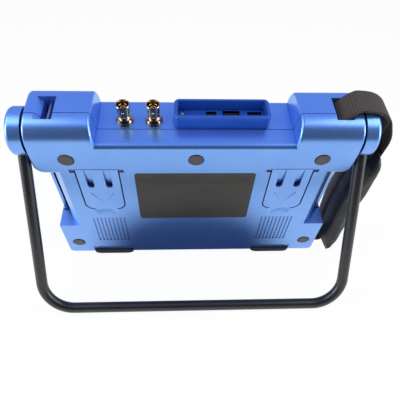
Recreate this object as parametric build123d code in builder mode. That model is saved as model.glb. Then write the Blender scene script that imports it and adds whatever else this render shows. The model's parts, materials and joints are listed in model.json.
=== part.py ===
from build123d import *
from math import asin, atan2, cos, degrees, hypot, radians, sin
import os

# A portable ultrasonic flaw detector that stands on a table, leaning back on its bail handle.
# While it is modelled, X runs across the case, Y runs up it and Z comes out of its back;
# every finished piece is then leaned back with the case and set down on the table.

# Driving dimensions, in millimetres.

# Case
case_width = 246.0
case_height = 171.0
case_depth = 50.0
wall = 2.4
seam = 0.5
shoulder_radius = 18.0
shoulder_front_radius = 14.0
shoulder_edge_radius = 2.5
shoulder_corner_radius = 8.0
deck_height = 155.0
deck_width = 147.0
deck_draft = 2.0
deck_edge_radius = 4.5
front_edge_radius = 4.0
bottom_corner_radius = 4.0

# Hand recess in each side of the rear shell
waist_low = 49.0
waist_high = 125.0
waist_step = 2.5
waist_face_inset = 19.0
waist_root_inset = 7.4
waist_bulge = 1.2

# Case screws and their rubber plugs
screw_side = 96.2
screw_high = 140.8
low_screw_side = 111.6
low_screw_high = 18.1
boss_diameter = 10.8
screw_diameter = 3.0
screw_length = 22.0
screw_head_diameter = 5.6
screw_head_height = 2.0
screw_hole_gap = 0.2
plug_diameter = 10.8
plug_proud = 0.8
plug_stem_diameter = 6.2
plug_stem_length = 2.6
plug_seat_depth = 1.2
plug_ring_gap = 0.7

# Flip-out feet
foot_side = 76.2
foot_width = 32.3
foot_low = 76.5
foot_pin_height = 128.1
foot_thickness = 3.4
foot_corner_radius = 7.5
foot_slot_gap = 1.1
foot_pin_diameter = 1.8
foot_pin_length = 41.5
foot_ear_opening = 1.0
foot_channel_width = 5.4
foot_channel_side = 7.3
foot_channel_end = 109.4
foot_hole_top = 115.0
nail_radius = 10.4
nail_depth = 2.6
arrow_half_width = 9.5
arrow_top = 99.2
arrow_height = 15.6
arrow_depth = 0.5
channel_start = 0.3
channel_end = 2.2
foot_hole_depth = 5.0
foot_sink = 0.1
foot_floor_gap = 0.5
foot_nose_gap = 0.4
pocket_wall = 1.6

# Vent grooves under the feet
vent_count = 9
vent_pitch = 3.44
vent_width = 1.5
vent_depth = 0.8
vent_low = 21.5
vent_high = 62.2

# Rating plate
plate_width = 95.6
plate_height = 64.0
plate_thickness = 0.5
plate_seat_depth = 0.35
plate_low = 61.0
plate_corner_radius = 2.5

# Rubber bottom pads
pad_inner_end = 60.0
pad_outer_end = 99.0
pad_radius = 3.5
pad_proud = 3.0
pad_reach = 9.0
pad_rabbet = 1.2
pad_flat = 0.15

# Bail handle
handle_diameter = 9.0
handle_tube_wall = 1.2
handle_reach = 153.5
handle_angle = 35.0
handle_bend = 25.0
knuckle_width = 11.2
knuckle_gap = 0.4
knuckle_edge_radius = 3.0
knuckle_web = 2.2
pivot_shank_diameter = 8.0
pivot_thread_diameter = 6.0
pivot_head_diameter = 13.0
pivot_head_height = 3.0
pivot_cap_diameter = 15.0
pivot_cap_thickness = 1.4
bush_diameter = 12.0
bush_flange_diameter = 17.0
bush_flange_thickness = 2.0
bush_inner_length = 5.0
washer_diameter = 22.0
washer_thickness = 0.9

# Strap slots and pins
slot_side = 106.2
slot_width = 9.4
slot_rear = 12.4
slot_front = 35.2
slot_depth = 12.6
low_slot_depth = 10.2
slot_wall = 2.0
slot_ramp = 4.2
pin_diameter = 2.4
pin_seat = 1.6
pin_depth = 6.0
low_pin_depth = 5.2

# Hand strap
webbing_thickness = 1.9
webbing_width = 22.0
soft_gap = 0.3
webbing_rear = 12.8
strap_stand_off = 17.4
grip_edge_radius = 4.0
webbing_run = 7.2
webbing_rise = 10.1
webbing_reach = 2.0
webbing_fall = 6.0
webbing_bends = [7.0, 18.0, 25.0]
webbing_lean = 3.4
webbing_drop = 4.4
webbing_bend = 2.4
# Each section of the grip: its height, how far its near and far faces stand out from the bail's
# knuckle, and how deep its rear and front edges lie below the case's back.
grip_sections = ((130.0, 8.8, 18.4, 8.0, 36.0), (118.0, 5.4, 16.8, 3.0, 37.0), (85.0, 2.4, 17.0, 2.0, 37.0),
                 (50.0, 0.4, 13.0, 0.0, 36.0), (20.0, 0.3, 10.4, -1.5, 33.0), (-1.5, 0.4, 5.2, -0.5, 32.0))

# Sockets on the deck
bnc_side = 53.4
bnc_pitch = 21.9
bnc_depth = 27.4
bnc_height = 16.0
bnc_barrel_diameter = 9.6
bnc_bore_diameter = 8.1
bnc_barrel_length = 4.8
bnc_neck_diameter = 8.6
bnc_thread_diameter = 9.4
bnc_lug_span = 11.0
bnc_lug_diameter = 2.0
bnc_nut_flats = 12.6
bnc_nut_thickness = 2.4
bnc_washer_diameter = 13.6
bnc_washer_thickness = 0.8
bnc_flange_diameter = 13.0
bnc_flange_thickness = 1.6
bnc_insulator_diameter = 4.8
bnc_contact_diameter = 2.2
bnc_contact_bore = 1.2
bnc_bore_depth = 9.0
bnc_seat_diameter = 6.4
bnc_tail = 4.0
bnc_thread_end = 1.2
bnc_lug_drop = 2.4
bnc_edge = 0.4
bay_left = 16.3
bay_right = 55.5
bay_rear = 18.6
bay_front = 39.6
bay_height = 11.0
bay_wall = 2.6
bay_corner_radius = 4.0
bay_floor = 2.0
bay_root_inset = 3.6
bay_root_wall = 1.6
bay_root_length = 4.4
bay_edge_radius = 1.2
socket_depth = 32.6
socket_length = 13.6
socket_proud = 0.4
socket_sheet = 0.4
usb_side = 27.2
usb_width = 13.1
usb_thickness = 5.7
usb_tongue = 1.9
mini_side = 11.8
mini_width = 7.7
mini_thickness = 4.0
mini_tongue = 1.0
data_side = 45.0
data_width = 10.6
data_thickness = 3.4
data_tongue = 0.8
lamp_side = -10.4
lamp_diameter = 3.0
lamp_length = 6.4
reset_side = -9.6
reset_depth = 36.0
reset_diameter = 1.2
port_board_left = 6.6
port_board_right = 53.0
port_board_thickness = 1.6
port_post_diameter = 4.4
port_post_depth = 26.6
port_post_inset = 4.0
port_screw_diameter = 2.0
port_screw_length = 6.0
socket_block = 4.0
tongue_shift = 0.0

# Display, keypads and boards
window_side = 25.0
window_high = 78.0
window_width = 118.0
window_height = 90.0
lens_width = 130.0
lens_height = 100.0
lens_thickness = 1.4
lens_corner_radius = 3.0
lcd_width = 144.0
lcd_height = 104.0
lcd_thickness = 7.4
post_spread = 76.0
post_rise = 38.0
post_diameter = 6.4
bracket_thickness = 0.8
bracket_margin = 4.0
bracket_opening_width = 96.0
bracket_opening_height = 70.0
spacer_flats = 5.5
spacer_length = 5.2
spacer_stud = 5.0
board_thickness = 1.6
board_margin = 9.0
board_screw_length = 5.4
board_screw_head = 5.5
board_screw_head_height = 1.8
shield_width = 44.0
shield_height = 34.0
shield_thickness = 6.5
shield_sheet = 0.4
buzzer_diameter = 12.0
buzzer_height = 5.0
keypad_thickness = 1.1
keypad_seat_depth = 0.9
keypad_corner_radius = 4.0
key_height = 0.9
keypad_right_side = -75.0
keypad_right_width = 60.0
keypad_left_side = 103.0
keypad_left_width = 18.0
key_rows = 6
key_columns = 4
key_width = 11.0
key_deep = 9.0

# Battery
battery_width = 76.0
battery_height = 68.0
battery_thickness = 19.0
battery_corner_radius = 3.0
battery_high = 93.0
tray_wall = 1.4
tray_depth = 15.0

# Gasket between the shells
gasket_inset = 0.8
gasket_width = 1.2
gasket_thickness = 0.46

# Running and seating clearances
fit_gap = 0.05
seat_gap = 0.1
running_gap = 0.03

# Worked out from the driving dimensions.
half_width = case_width / 2
seam_depth = shoulder_radius
pivot_height = case_height - shoulder_radius
front_inside = -case_depth + wall
waist_side = half_width - waist_step
waist_face = half_width - waist_face_inset
waist_root = half_width - waist_root_inset
deck_inside = deck_height - wall
screw_places = [(turn * screw_side, screw_high) for turn in (-1, 0, 1)]
screw_places += [(turn * low_screw_side, low_screw_high) for turn in (-1, 1)]
screw_seat = -plug_seat_depth - plug_stem_length - seat_gap - screw_head_height
foot_axis_depth = foot_sink + foot_thickness / 2
foot_pocket_depth = foot_sink + foot_thickness + foot_floor_gap
foot_pocket_low = foot_low - foot_slot_gap
foot_pocket_high = foot_pin_height + foot_thickness / 2 + foot_nose_gap
foot_pocket_middle = (foot_pocket_low + foot_pocket_high) / 2
foot_pocket_height = foot_pocket_high - foot_pocket_low
foot_pocket_width = foot_width + 2 * foot_slot_gap
foot_places = [(turn * foot_side, foot_pocket_middle) for turn in (-1, 1)]
foot_pin_bore = foot_pin_diameter + 2 * fit_gap
nail_ball = (nail_radius ** 2 + nail_depth ** 2) / (2 * nail_depth)
slot_floor = case_height - slot_depth
slot_length = slot_front - slot_rear
slot_middle = -(slot_front + slot_rear) / 2
pin_high = case_height - pin_depth
bracket_back = front_inside + lcd_thickness + 2 * seat_gap
spacer_foot = bracket_back + bracket_thickness
board_front = spacer_foot + spacer_length
board_back = board_front + board_thickness
post_places = [(window_side + turn * post_spread, window_high + lift * post_rise)
               for turn in (-1, 1) for lift in (-1, 1)]
knuckle_inner = half_width + knuckle_gap
knuckle_outer = knuckle_inner + knuckle_width
leg_side = knuckle_inner + knuckle_width / 2
cap_seat = knuckle_outer - pivot_cap_thickness
head_seat = cap_seat - seat_gap - pivot_head_height - running_gap
washer_seat = half_width + running_gap + washer_thickness + running_gap
bush_inner_end = half_width - wall - bush_flange_thickness - bush_inner_length
tube_start = pivot_cap_diameter / 2 + knuckle_web
bnc_places = [-bnc_side, -bnc_side + bnc_pitch]
bnc_top = deck_height + bnc_height
bnc_lug_high = bnc_top - bnc_lug_drop
grip_top = grip_sections[0][0]
grip_bottom = grip_sections[-1][0]
grip_foot_side = knuckle_outer + (grip_sections[-1][1] + grip_sections[-1][2]) / 2
bay_width = bay_right + bay_left
bay_length = bay_front - bay_rear
bay_middle = ((bay_right - bay_left) / 2, (bay_rear + bay_front) / 2)
bay_floor_high = deck_height + bay_floor
root_width = bay_width - 2 * bay_root_inset
root_deep = bay_length - 2 * bay_root_inset
bay_rim = deck_height + bay_height
socket_top = bay_floor_high + socket_proud
port_board_high = socket_top - socket_length
port_posts = [(port_board_left + port_post_inset, port_post_depth),
              (port_board_right - port_post_inset, port_post_depth)]
pad_centre = pad_radius - pad_proud
bar_rise = pivot_height - handle_reach * cos(radians(handle_angle)) - pad_centre
bar_out = -seam_depth + handle_reach * sin(radians(handle_angle)) + pad_centre
bar_drop = handle_diameter / 2 - pad_radius + pad_flat
lean = degrees(atan2(bar_rise, bar_out) - asin(bar_drop / hypot(bar_rise, bar_out)))

os.makedirs("parts", exist_ok=True)
finished = []


def shoulder_form(inset):
    """The right shoulder: rounded about the handle knuckle's axis, with a sloping inner end."""
    low = waist_high + inset
    high = case_height - inset
    back = -inset
    front = -case_depth + inset
    rear_radius = shoulder_radius - inset
    nose_radius = shoulder_front_radius - inset
    side = half_width - inset
    with BuildPart() as shoulder:
        with BuildSketch(Plane.YZ.offset(deck_width / 2 - 8)):
            with BuildLine() as profile:
                Polyline((pivot_height, back), (low, back), (low, front), (high - nose_radius, front))
                RadiusArc((high - nose_radius, front), (high, front + nose_radius), -nose_radius)
                Line((high, front + nose_radius), (high, back - rear_radius))
                RadiusArc((high, back - rear_radius), (pivot_height, back), -rear_radius)
            make_face(profile.edges())
        extrude(amount=side - deck_width / 2 + 8)
        slope = Vector(case_height - deck_height, -deck_draft, 0)
        split(bisect_by=Plane(origin=(deck_width / 2 + inset, deck_height, 0), z_dir=slope), keep=Keep.TOP)
        corner = shoulder.edges().filter_by(Axis.Z).group_by(Axis.Y)[0].sort_by(Axis.X)[-1]
        fillet(corner, shoulder_corner_radius - inset)
        if inset == 0:
            fillet(shoulder.faces().sort_by(Axis.X)[-1].edges(), shoulder_edge_radius)
            inner_end = shoulder.faces().sort_by(Axis.X)[0]
            fillet(inner_end.edges().sort_by(Axis.Y)[1:], shoulder_edge_radius)
    return shoulder.part


def case_form(inset):
    """The case's outer form or, with an inset, the hollow that leaves a wall of that thickness."""
    back = -inset
    front = -case_depth + inset
    side = half_width - inset
    recess = waist_side - inset
    top = deck_height - inset
    shelf = waist_low - inset
    tuck = waist_high + shoulder_corner_radius
    neck = deck_width / 2 + 20
    shoulder = shoulder_form(inset)
    right_edge = [(side, inset), (side, shelf), (recess, shelf + waist_step), (recess, tuck), (neck, tuck),
                  (neck, top)]
    with BuildPart() as body:
        with BuildSketch(Plane.XY.offset(front)):
            Polygon(*right_edge, *[(-x, y) for x, y in reversed(right_edge)], align=None)
        extrude(amount=back - front)
        fillet(body.edges().filter_by(Axis.Z).group_by(Axis.Y)[0], bottom_corner_radius - inset / 2)
        fillet(body.edges().group_by(Axis.Z)[0], front_edge_radius - inset / 2)
        # The deck's rear edge is rounded.
        round_off = deck_edge_radius - inset / 2
        with BuildSketch(Plane.YZ):
            with BuildLine() as trim:
                Polyline((top - round_off, back), (top - round_off, back + 2), (top + 2, back + 2),
                         (top + 2, back - round_off), (top, back - round_off))
                RadiusArc((top, back - round_off), (top - round_off, back), -round_off)
            make_face(trim.edges())
        extrude(amount=half_width, both=True, mode=Mode.SUBTRACT)
        # A hand recess is hollowed out of each side, in the rear half only.
        for turn in (1, -1):
            face_edge = (turn * (waist_face - inset), 0)
            root_edge = (turn * (waist_root - inset), -seam_depth)
            belly_side = (waist_face + waist_root) / 2 - inset + waist_bulge
            belly = (turn * belly_side, waist_bulge - seam_depth / 2)
            clear = turn * (half_width + 5)
            with BuildSketch(Plane.XZ.offset(-shelf)):
                with BuildLine() as scoop:
                    Polyline(face_edge, (face_edge[0], 5), (clear, 5), (clear, -seam_depth), root_edge)
                    ThreePointArc(root_edge, belly, face_edge)
                make_face(scoop.edges())
            extrude(amount=-(tuck + 5 - shelf), mode=Mode.SUBTRACT)
        add(shoulder)
        add(mirror(shoulder, about=Plane.YZ, mode=Mode.PRIVATE))
    return body.part


def level(high):
    """A plane lying across the case at a height: sketches on it give side and depth below the back."""
    return Plane(origin=(0, high, 0), x_dir=(1, 0, 0), z_dir=(0, 1, 0))


def outward(side, high, deep):
    """A plane whose normal points out along X, to the right or, for a negative side, to the left."""
    return Plane(origin=(side, high, deep), x_dir=(0, 1, 0), z_dir=(1 if side > 0 else -1, 0, 0))


def turned(profile, side, deep, mode=Mode.ADD):
    """A round form standing up the case, from its half section of radius and height."""
    with BuildSketch(Plane.XY.offset(-deep)) as half:
        with Locations((side, 0)):
            Polygon(*profile, align=None)
    revolve(half.sketch, axis=Axis((side, 0, -deep), (0, 1, 0)), mode=mode)


def finish(piece, name):
    """Name a finished piece and put it with the others."""
    piece.part.label = name
    finished.append(piece)


form = case_form(0)

# The hollow inside both shells, less the bosses, posts and housings that stand in it.
with BuildPart() as hollow:
    add(case_form(wall))
    with Locations(*[(x, y, 0) for x, y in screw_places]):
        Cylinder(boss_diameter / 2, 3 * case_depth, mode=Mode.SUBTRACT)
    with BuildSketch(Plane.XY.offset(-case_depth)):
        with Locations(*post_places):
            Circle(post_diameter / 2)
    extrude(amount=bracket_back + case_depth, mode=Mode.SUBTRACT)
    with Locations(*[(x, y, 0) for x, y in foot_places]):
        Box(foot_pocket_width + 2 * pocket_wall, foot_pocket_height + 2 * pocket_wall,
            2 * (foot_pocket_depth + pocket_wall), mode=Mode.SUBTRACT)
    with Locations(*[(x, foot_pocket_low, nail_ball - nail_depth) for x, y in foot_places]):
        Sphere(nail_ball + pocket_wall, mode=Mode.SUBTRACT)
    for high, depth in ((case_height, slot_depth), (0, low_slot_depth)):
        with Locations((0, high, slot_middle)):
            with GridLocations(2 * slot_side, 1, 2, 1):
                Box(slot_width + 2 * slot_wall, 2 * (depth + slot_wall), slot_length + 2 * slot_wall,
                    mode=Mode.SUBTRACT)

# What is cut through both shells alike: the strap slots, the seats of their pins and the pivot bores.
with BuildPart() as shared_cuts:
    inner = slot_side - slot_width / 2
    outer = slot_side + slot_width / 2
    lip = outer + slot_ramp
    with BuildSketch(Plane.XY.offset(-slot_front)):
        Polygon((inner, slot_floor), (outer, slot_floor), (outer, case_height - slot_ramp),
                (lip, case_height), (lip, case_height + 2), (inner, case_height + 2), align=None)
        Polygon((inner, low_slot_depth), (outer, low_slot_depth), (outer, slot_ramp),
                (lip, 0), (lip, -2), (inner, -2), align=None)
        mirror(about=Plane.YZ)
    extrude(amount=slot_length)
    for high in (pin_high, low_pin_depth):
        with Locations((0, high, slot_middle)):
            with GridLocations(2 * slot_side, 1, 2, 1):
                Cylinder(pin_diameter / 2 + fit_gap, slot_length + 2 * pin_seat + 2 * fit_gap)
    for turn in (-1, 1):
        with BuildSketch(outward(turn * (half_width - 2 * wall), pivot_height, -seam_depth)):
            Circle(bush_diameter / 2 + fit_gap)
        extrude(amount=3 * wall)

with BuildPart() as rear_shell:
    add(form)
    split(bisect_by=Plane.XY.offset(-seam_depth + seam / 2), keep=Keep.TOP)
    add(hollow.part, mode=Mode.SUBTRACT)
    add(shared_cuts.part, mode=Mode.SUBTRACT)
    # Each screw bore opens into a wider bore for its head and stem, and a shallow seat for its plug.
    for radius, depth in ((plug_diameter / 2 + plug_ring_gap, plug_seat_depth),
                          (plug_stem_diameter / 2 + seat_gap, -screw_seat),
                          (screw_diameter / 2 + screw_hole_gap, seam_depth)):
        with BuildSketch():
            with Locations(*screw_places):
                Circle(radius)
        extrude(amount=-depth, mode=Mode.SUBTRACT)
    # Pockets for the flip-out feet, with grooves at both sides that the hinge pins snap into.
    with BuildSketch() as pockets:
        with Locations(*foot_places):
            Rectangle(foot_pocket_width, foot_pocket_height)
        fillet(pockets.vertices().group_by(Axis.Y)[0], foot_corner_radius + foot_slot_gap)
    extrude(amount=-foot_pocket_depth, mode=Mode.SUBTRACT)
    with Locations(*[(x, foot_pin_height, 0) for x, y in foot_places]):
        Box(foot_pin_length + 2 * fit_gap, foot_pin_bore, 2 * foot_axis_depth + foot_pin_bore,
            mode=Mode.SUBTRACT)
        Box(foot_pin_length + 2 * fit_gap, foot_pin_bore + 2 * foot_ear_opening,
            2 * foot_axis_depth - foot_pin_bore, mode=Mode.SUBTRACT)
    with Locations(*[(x, foot_pocket_low, nail_ball - nail_depth) for x, y in foot_places]):
        Sphere(nail_ball, mode=Mode.SUBTRACT)
    # Blind vent grooves under each foot.
    with BuildSketch():
        with Locations(*[(x, (vent_low + vent_high) / 2) for x, y in foot_places]):
            with GridLocations(vent_pitch, 1, vent_count, 1):
                SlotOverall(vent_high - vent_low, vent_width, rotation=90)
    extrude(amount=-vent_depth, mode=Mode.SUBTRACT)
    with BuildSketch():
        with Locations((0, plate_low + plate_height / 2)):
            RectangleRounded(plate_width + 2 * seat_gap, plate_height + 2 * seat_gap,
                             plate_corner_radius + seat_gap)
    extrude(amount=-plate_seat_depth, mode=Mode.SUBTRACT)
    # Rabbets in the bottom edge for the rubber pads.
    pad_span = pad_outer_end - pad_inner_end
    pad_places = [(turn * (pad_inner_end + pad_outer_end) / 2, 0, 0) for turn in (-1, 1)]
    with Locations(*pad_places):
        Box(pad_span + 2 * seat_gap, 2 * pad_rabbet, 2 * (pad_reach + seat_gap), mode=Mode.SUBTRACT)
        Box(pad_span + 2 * seat_gap, 2 * (pad_reach + seat_gap), 2 * pad_rabbet, mode=Mode.SUBTRACT)
finish(rear_shell, "rear_shell")

with BuildPart() as front_shell:
    add(form)
    split(bisect_by=Plane.XY.offset(-seam_depth - seam / 2), keep=Keep.BOTTOM)
    add(hollow.part, mode=Mode.SUBTRACT)
    add(shared_cuts.part, mode=Mode.SUBTRACT)
    # Blind bores that the case screws bite into, and shorter ones in the display posts.
    with BuildSketch(Plane.XY.offset(-seam_depth)):
        with Locations(*screw_places):
            Circle(screw_diameter / 2 + fit_gap)
    extrude(amount=screw_seat - screw_length + seam_depth - 1, mode=Mode.SUBTRACT)
    with BuildSketch(Plane.XY.offset(bracket_back)):
        with Locations(*post_places):
            Circle(screw_diameter / 2 + fit_gap)
    extrude(amount=-spacer_stud - 1, mode=Mode.SUBTRACT)
    # The display window and the keypads lie in shallow seats in the front face.
    with BuildSketch(Plane.XY.offset(-case_depth)):
        with Locations((window_side, window_high)):
            RectangleRounded(lens_width + 2 * seat_gap, lens_height + 2 * seat_gap, lens_corner_radius)
    extrude(amount=lens_thickness, mode=Mode.SUBTRACT)
    with BuildSketch(Plane.XY.offset(-case_depth)):
        with Locations((window_side, window_high)):
            Rectangle(window_width, window_height)
    extrude(amount=2 * wall, mode=Mode.SUBTRACT)
    with BuildSketch(Plane.XY.offset(-case_depth)):
        for side, width in ((keypad_right_side, keypad_right_width), (keypad_left_side, keypad_left_width)):
            with Locations((side, window_high)):
                RectangleRounded(width + 2 * seat_gap, lens_height + 2 * seat_gap, keypad_corner_radius)
    extrude(amount=keypad_seat_depth, mode=Mode.SUBTRACT)
    # Round holes in the deck for the coaxial sockets and a long one for the port bay.
    with BuildSketch(level(deck_height + 1)):
        with Locations(*[(side, bnc_depth) for side in bnc_places]):
            Circle(bnc_thread_diameter / 2 + seat_gap)
        with Locations(bay_middle):
            Rectangle(root_width + 2 * seat_gap, root_deep + 2 * seat_gap)
    extrude(amount=-wall - 2, mode=Mode.SUBTRACT)
finish(front_shell, "front_shell")

# A flat rubber gasket follows the seam, broken where the slots and the pivots cross it.
with BuildPart() as shell_gasket:
    seam_middle = Plane.XY.offset(-seam_depth)
    just_behind = Plane.XY.offset(-seam_depth + seam)
    outer_line = section(case_form(gasket_inset), section_by=just_behind, mode=Mode.PRIVATE)
    inner_line = section(case_form(gasket_inset + gasket_width), section_by=just_behind, mode=Mode.PRIVATE)
    drop = Location((0, 0, -seam - gasket_thickness / 2))
    extrude(outer_line.moved(drop), amount=gasket_thickness)
    extrude(inner_line.moved(drop), amount=gasket_thickness, mode=Mode.SUBTRACT)
    for high, deep in ((case_height, slot_depth), (0, low_slot_depth)):
        with Locations((0, high, -seam_depth)):
            with GridLocations(2 * slot_side, 1, 2, 1):
                Box(slot_width + 2 * slot_ramp, 2 * deep, 2 * seam, mode=Mode.SUBTRACT)
    with Locations((0, pivot_height, -seam_depth)):
        with GridLocations(2 * half_width, 1, 2, 1):
            Box(6 * wall, bush_flange_diameter + 1, 2 * seam, mode=Mode.SUBTRACT)
finish(shell_gasket, "shell_gasket")

with BuildPart() as display_window:
    with BuildSketch(Plane.XY.offset(-case_depth)):
        with Locations((window_side, window_high)):
            RectangleRounded(lens_width, lens_height, lens_corner_radius - seat_gap)
    extrude(amount=lens_thickness - fit_gap)
finish(display_window, "display_window")

with BuildPart() as lcd_panel:
    with BuildSketch(Plane.XY.offset(front_inside + seat_gap)):
        with Locations((window_side, window_high)):
            Rectangle(lcd_width, lcd_height)
    extrude(amount=lcd_thickness)
    chamfer(lcd_panel.edges().filter_by(Axis.Z), 1)
finish(lcd_panel, "lcd_panel")

# A folded sheet frame behind the display, screwed to the four posts.
with BuildPart() as lcd_bracket:
    with BuildSketch(Plane.XY.offset(bracket_back)):
        with Locations((window_side, window_high)):
            RectangleRounded(2 * post_spread + 2 * bracket_margin, lcd_height, bracket_margin)
            Rectangle(bracket_opening_width, bracket_opening_height, mode=Mode.SUBTRACT)
        with Locations(*post_places):
            Circle(screw_diameter / 2 + screw_hole_gap, mode=Mode.SUBTRACT)
    extrude(amount=bracket_thickness)
finish(lcd_bracket, "lcd_bracket")

with BuildPart() as board_spacers:
    with BuildSketch(Plane.XY.offset(spacer_foot)):
        with Locations(*post_places):
            RegularPolygon(spacer_flats / 2, 6, major_radius=False)
    extrude(amount=spacer_length)
    with BuildSketch(Plane.XY.offset(spacer_foot)):
        with Locations(*post_places):
            Circle(screw_diameter / 2)
    extrude(amount=-spacer_stud)
    with BuildSketch(Plane.XY.offset(board_front)):
        with Locations(*post_places):
            Circle(screw_diameter / 2 + fit_gap)
    extrude(amount=-board_screw_length + board_thickness - seat_gap, mode=Mode.SUBTRACT)
finish(board_spacers, "board_spacers")

with BuildPart() as main_board:
    with BuildSketch(Plane.XY.offset(board_front)):
        with Locations((window_side, window_high)):
            RectangleRounded(2 * post_spread + 2 * board_margin, 2 * post_rise + 2 * board_margin, 3)
        with Locations(*post_places):
            Circle(screw_diameter / 2 + screw_hole_gap, mode=Mode.SUBTRACT)
    extrude(amount=board_thickness)
finish(main_board, "main_board")

with BuildPart() as board_screws:
    with BuildSketch(Plane.XY.offset(board_back)):
        with Locations(*post_places):
            Circle(board_screw_head / 2)
    extrude(amount=board_screw_head_height)
    with BuildSketch(Plane.XY.offset(board_back)):
        with Locations(*post_places):
            Circle(screw_diameter / 2)
    extrude(amount=-board_screw_length)
finish(board_screws, "board_screws")

# A folded tin can over the pulser, open towards the board, beside the coaxial sockets.
with BuildPart() as pulser_shield:
    shield_middle = (-bnc_side + bnc_pitch, window_high + post_rise - board_screw_head - shield_height / 2)
    with BuildSketch(Plane.XY.offset(board_back)):
        with Locations(shield_middle):
            Rectangle(shield_width, shield_height)
    extrude(amount=shield_thickness)
    with BuildSketch(Plane.XY.offset(board_back)):
        with Locations(shield_middle):
            Rectangle(shield_width - 2 * shield_sheet, shield_height - 2 * shield_sheet)
    extrude(amount=shield_thickness - shield_sheet, mode=Mode.SUBTRACT)
finish(pulser_shield, "pulser_shield")

with BuildPart() as buzzer:
    with BuildSketch(Plane.XY.offset(board_back)):
        with Locations((window_side + post_spread - buzzer_diameter, window_high - post_rise)):
            Circle(buzzer_diameter / 2)
            Circle(buzzer_diameter / 12, mode=Mode.SUBTRACT)
    extrude(amount=buzzer_height)
finish(buzzer, "buzzer")

# The battery lies in a tray against the back wall, under the rating plate.
with BuildPart() as battery_tray:
    tray_top = -wall - seat_gap
    tray_inside_width = battery_width + 2 * seat_gap
    tray_inside_height = battery_height + 2 * seat_gap
    with BuildSketch(Plane.XY.offset(tray_top)):
        with Locations((0, battery_high)):
            RectangleRounded(tray_inside_width + 2 * tray_wall, tray_inside_height + 2 * tray_wall,
                             battery_corner_radius + tray_wall)
    extrude(amount=-tray_depth)
    with BuildSketch(Plane.XY.offset(tray_top - tray_wall)):
        with Locations((0, battery_high)):
            RectangleRounded(tray_inside_width, tray_inside_height, battery_corner_radius)
    extrude(amount=-tray_depth, mode=Mode.SUBTRACT)
finish(battery_tray, "battery_tray")

with BuildPart() as battery_pack:
    with BuildSketch(Plane.XY.offset(tray_top - tray_wall - seat_gap)):
        with Locations((0, battery_high)):
            RectangleRounded(battery_width, battery_height, battery_corner_radius)
    extrude(amount=-battery_thickness)
finish(battery_pack, "battery_pack")


def keypad(side, width, columns):
    """A moulded silicone keypad: one sheet with a field of low keys standing out of it."""
    with BuildPart() as pad:
        with BuildSketch(Plane.XY.offset(-case_depth + keypad_seat_depth - fit_gap)):
            with Locations((side, window_high)):
                RectangleRounded(width, lens_height, keypad_corner_radius - seat_gap)
        extrude(amount=-keypad_thickness)
        with BuildSketch(Plane.XY.offset(-case_depth + keypad_seat_depth - fit_gap - keypad_thickness)):
            with Locations((side, window_high)):
                with GridLocations((width - 2) / columns, (lens_height - 6) / key_rows, columns, key_rows):
                    RectangleRounded(key_width, key_deep, 2)
        extrude(amount=-key_height, taper=12)
    return pad


keypad_right = keypad(keypad_right_side, keypad_right_width, key_columns)
finish(keypad_right, "keypad_right")
keypad_left = keypad(keypad_left_side, keypad_left_width, 1)
finish(keypad_left, "keypad_left")

with BuildPart() as case_screws:
    with BuildSketch(Plane.XY.offset(screw_seat)):
        with Locations(*screw_places):
            Circle(screw_head_diameter / 2)
    extrude(amount=screw_head_height)
    with BuildSketch(Plane.XY.offset(screw_seat)):
        with Locations(*screw_places):
            Circle(screw_diameter / 2)
    extrude(amount=-screw_length)
    with BuildSketch(Plane.XY.offset(screw_seat + screw_head_height)):
        with Locations(*screw_places):
            RegularPolygon(screw_diameter / 2 - 0.25, 6)
    extrude(amount=-screw_head_height / 2, mode=Mode.SUBTRACT)
finish(case_screws, "case_screws")

# Soft mushroom plugs close the screw bores: a low domed head on a stem.
with BuildPart() as screw_plugs:
    with BuildSketch(Plane.XY.offset(-plug_seat_depth)):
        with Locations(*screw_places):
            Circle(plug_diameter / 2)
    extrude(amount=plug_seat_depth + plug_proud)
    fillet(screw_plugs.edges().group_by(Axis.Z)[-1], plug_proud - 0.1)
    with BuildSketch(Plane.XY.offset(-plug_seat_depth)):
        with Locations(*screw_places):
            Circle(plug_stem_diameter / 2)
    extrude(amount=-plug_stem_length)
finish(screw_plugs, "screw_plugs")

# Rubber pads wrap the bottom edge of the back; the case stands on the small flat worn into their nose.
with BuildPart() as bottom_pads:
    nose = Vector(0, -cos(radians(lean)), sin(radians(lean))) * (pad_radius - pad_flat)
    nose += Vector(0, pad_centre, -pad_centre)
    with BuildSketch(Plane.YZ.offset(pad_inner_end)):
        with BuildLine() as wrap:
            Polyline((pad_centre, pad_proud), (pad_reach - pad_proud, pad_proud))
            RadiusArc((pad_reach - pad_proud, pad_proud), (pad_reach, 0), pad_proud)
            Polyline((pad_reach, 0), (pad_reach, -pad_rabbet), (pad_rabbet, -pad_rabbet),
                     (pad_rabbet, -pad_reach), (0, -pad_reach))
            RadiusArc((0, -pad_reach), (-pad_proud, pad_proud - pad_reach), pad_proud)
            Polyline((-pad_proud, pad_proud - pad_reach), (-pad_proud, -pad_centre))
            RadiusArc((-pad_proud, -pad_centre), (pad_centre, pad_proud), pad_radius)
        make_face()
    extrude(amount=pad_span)
    split(bisect_by=Plane(origin=nose, z_dir=(0, -cos(radians(lean)), sin(radians(lean)))), keep=Keep.BOTTOM)
    mirror(about=Plane.YZ)
finish(bottom_pads, "bottom_pads")

with BuildPart() as label_plate:
    with BuildSketch(Plane.XY.offset(-plate_seat_depth)):
        with Locations((0, plate_low + plate_height / 2)):
            RectangleRounded(plate_width, plate_height, plate_corner_radius)
    extrude(amount=plate_thickness)
finish(label_plate, "label_plate")


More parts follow.
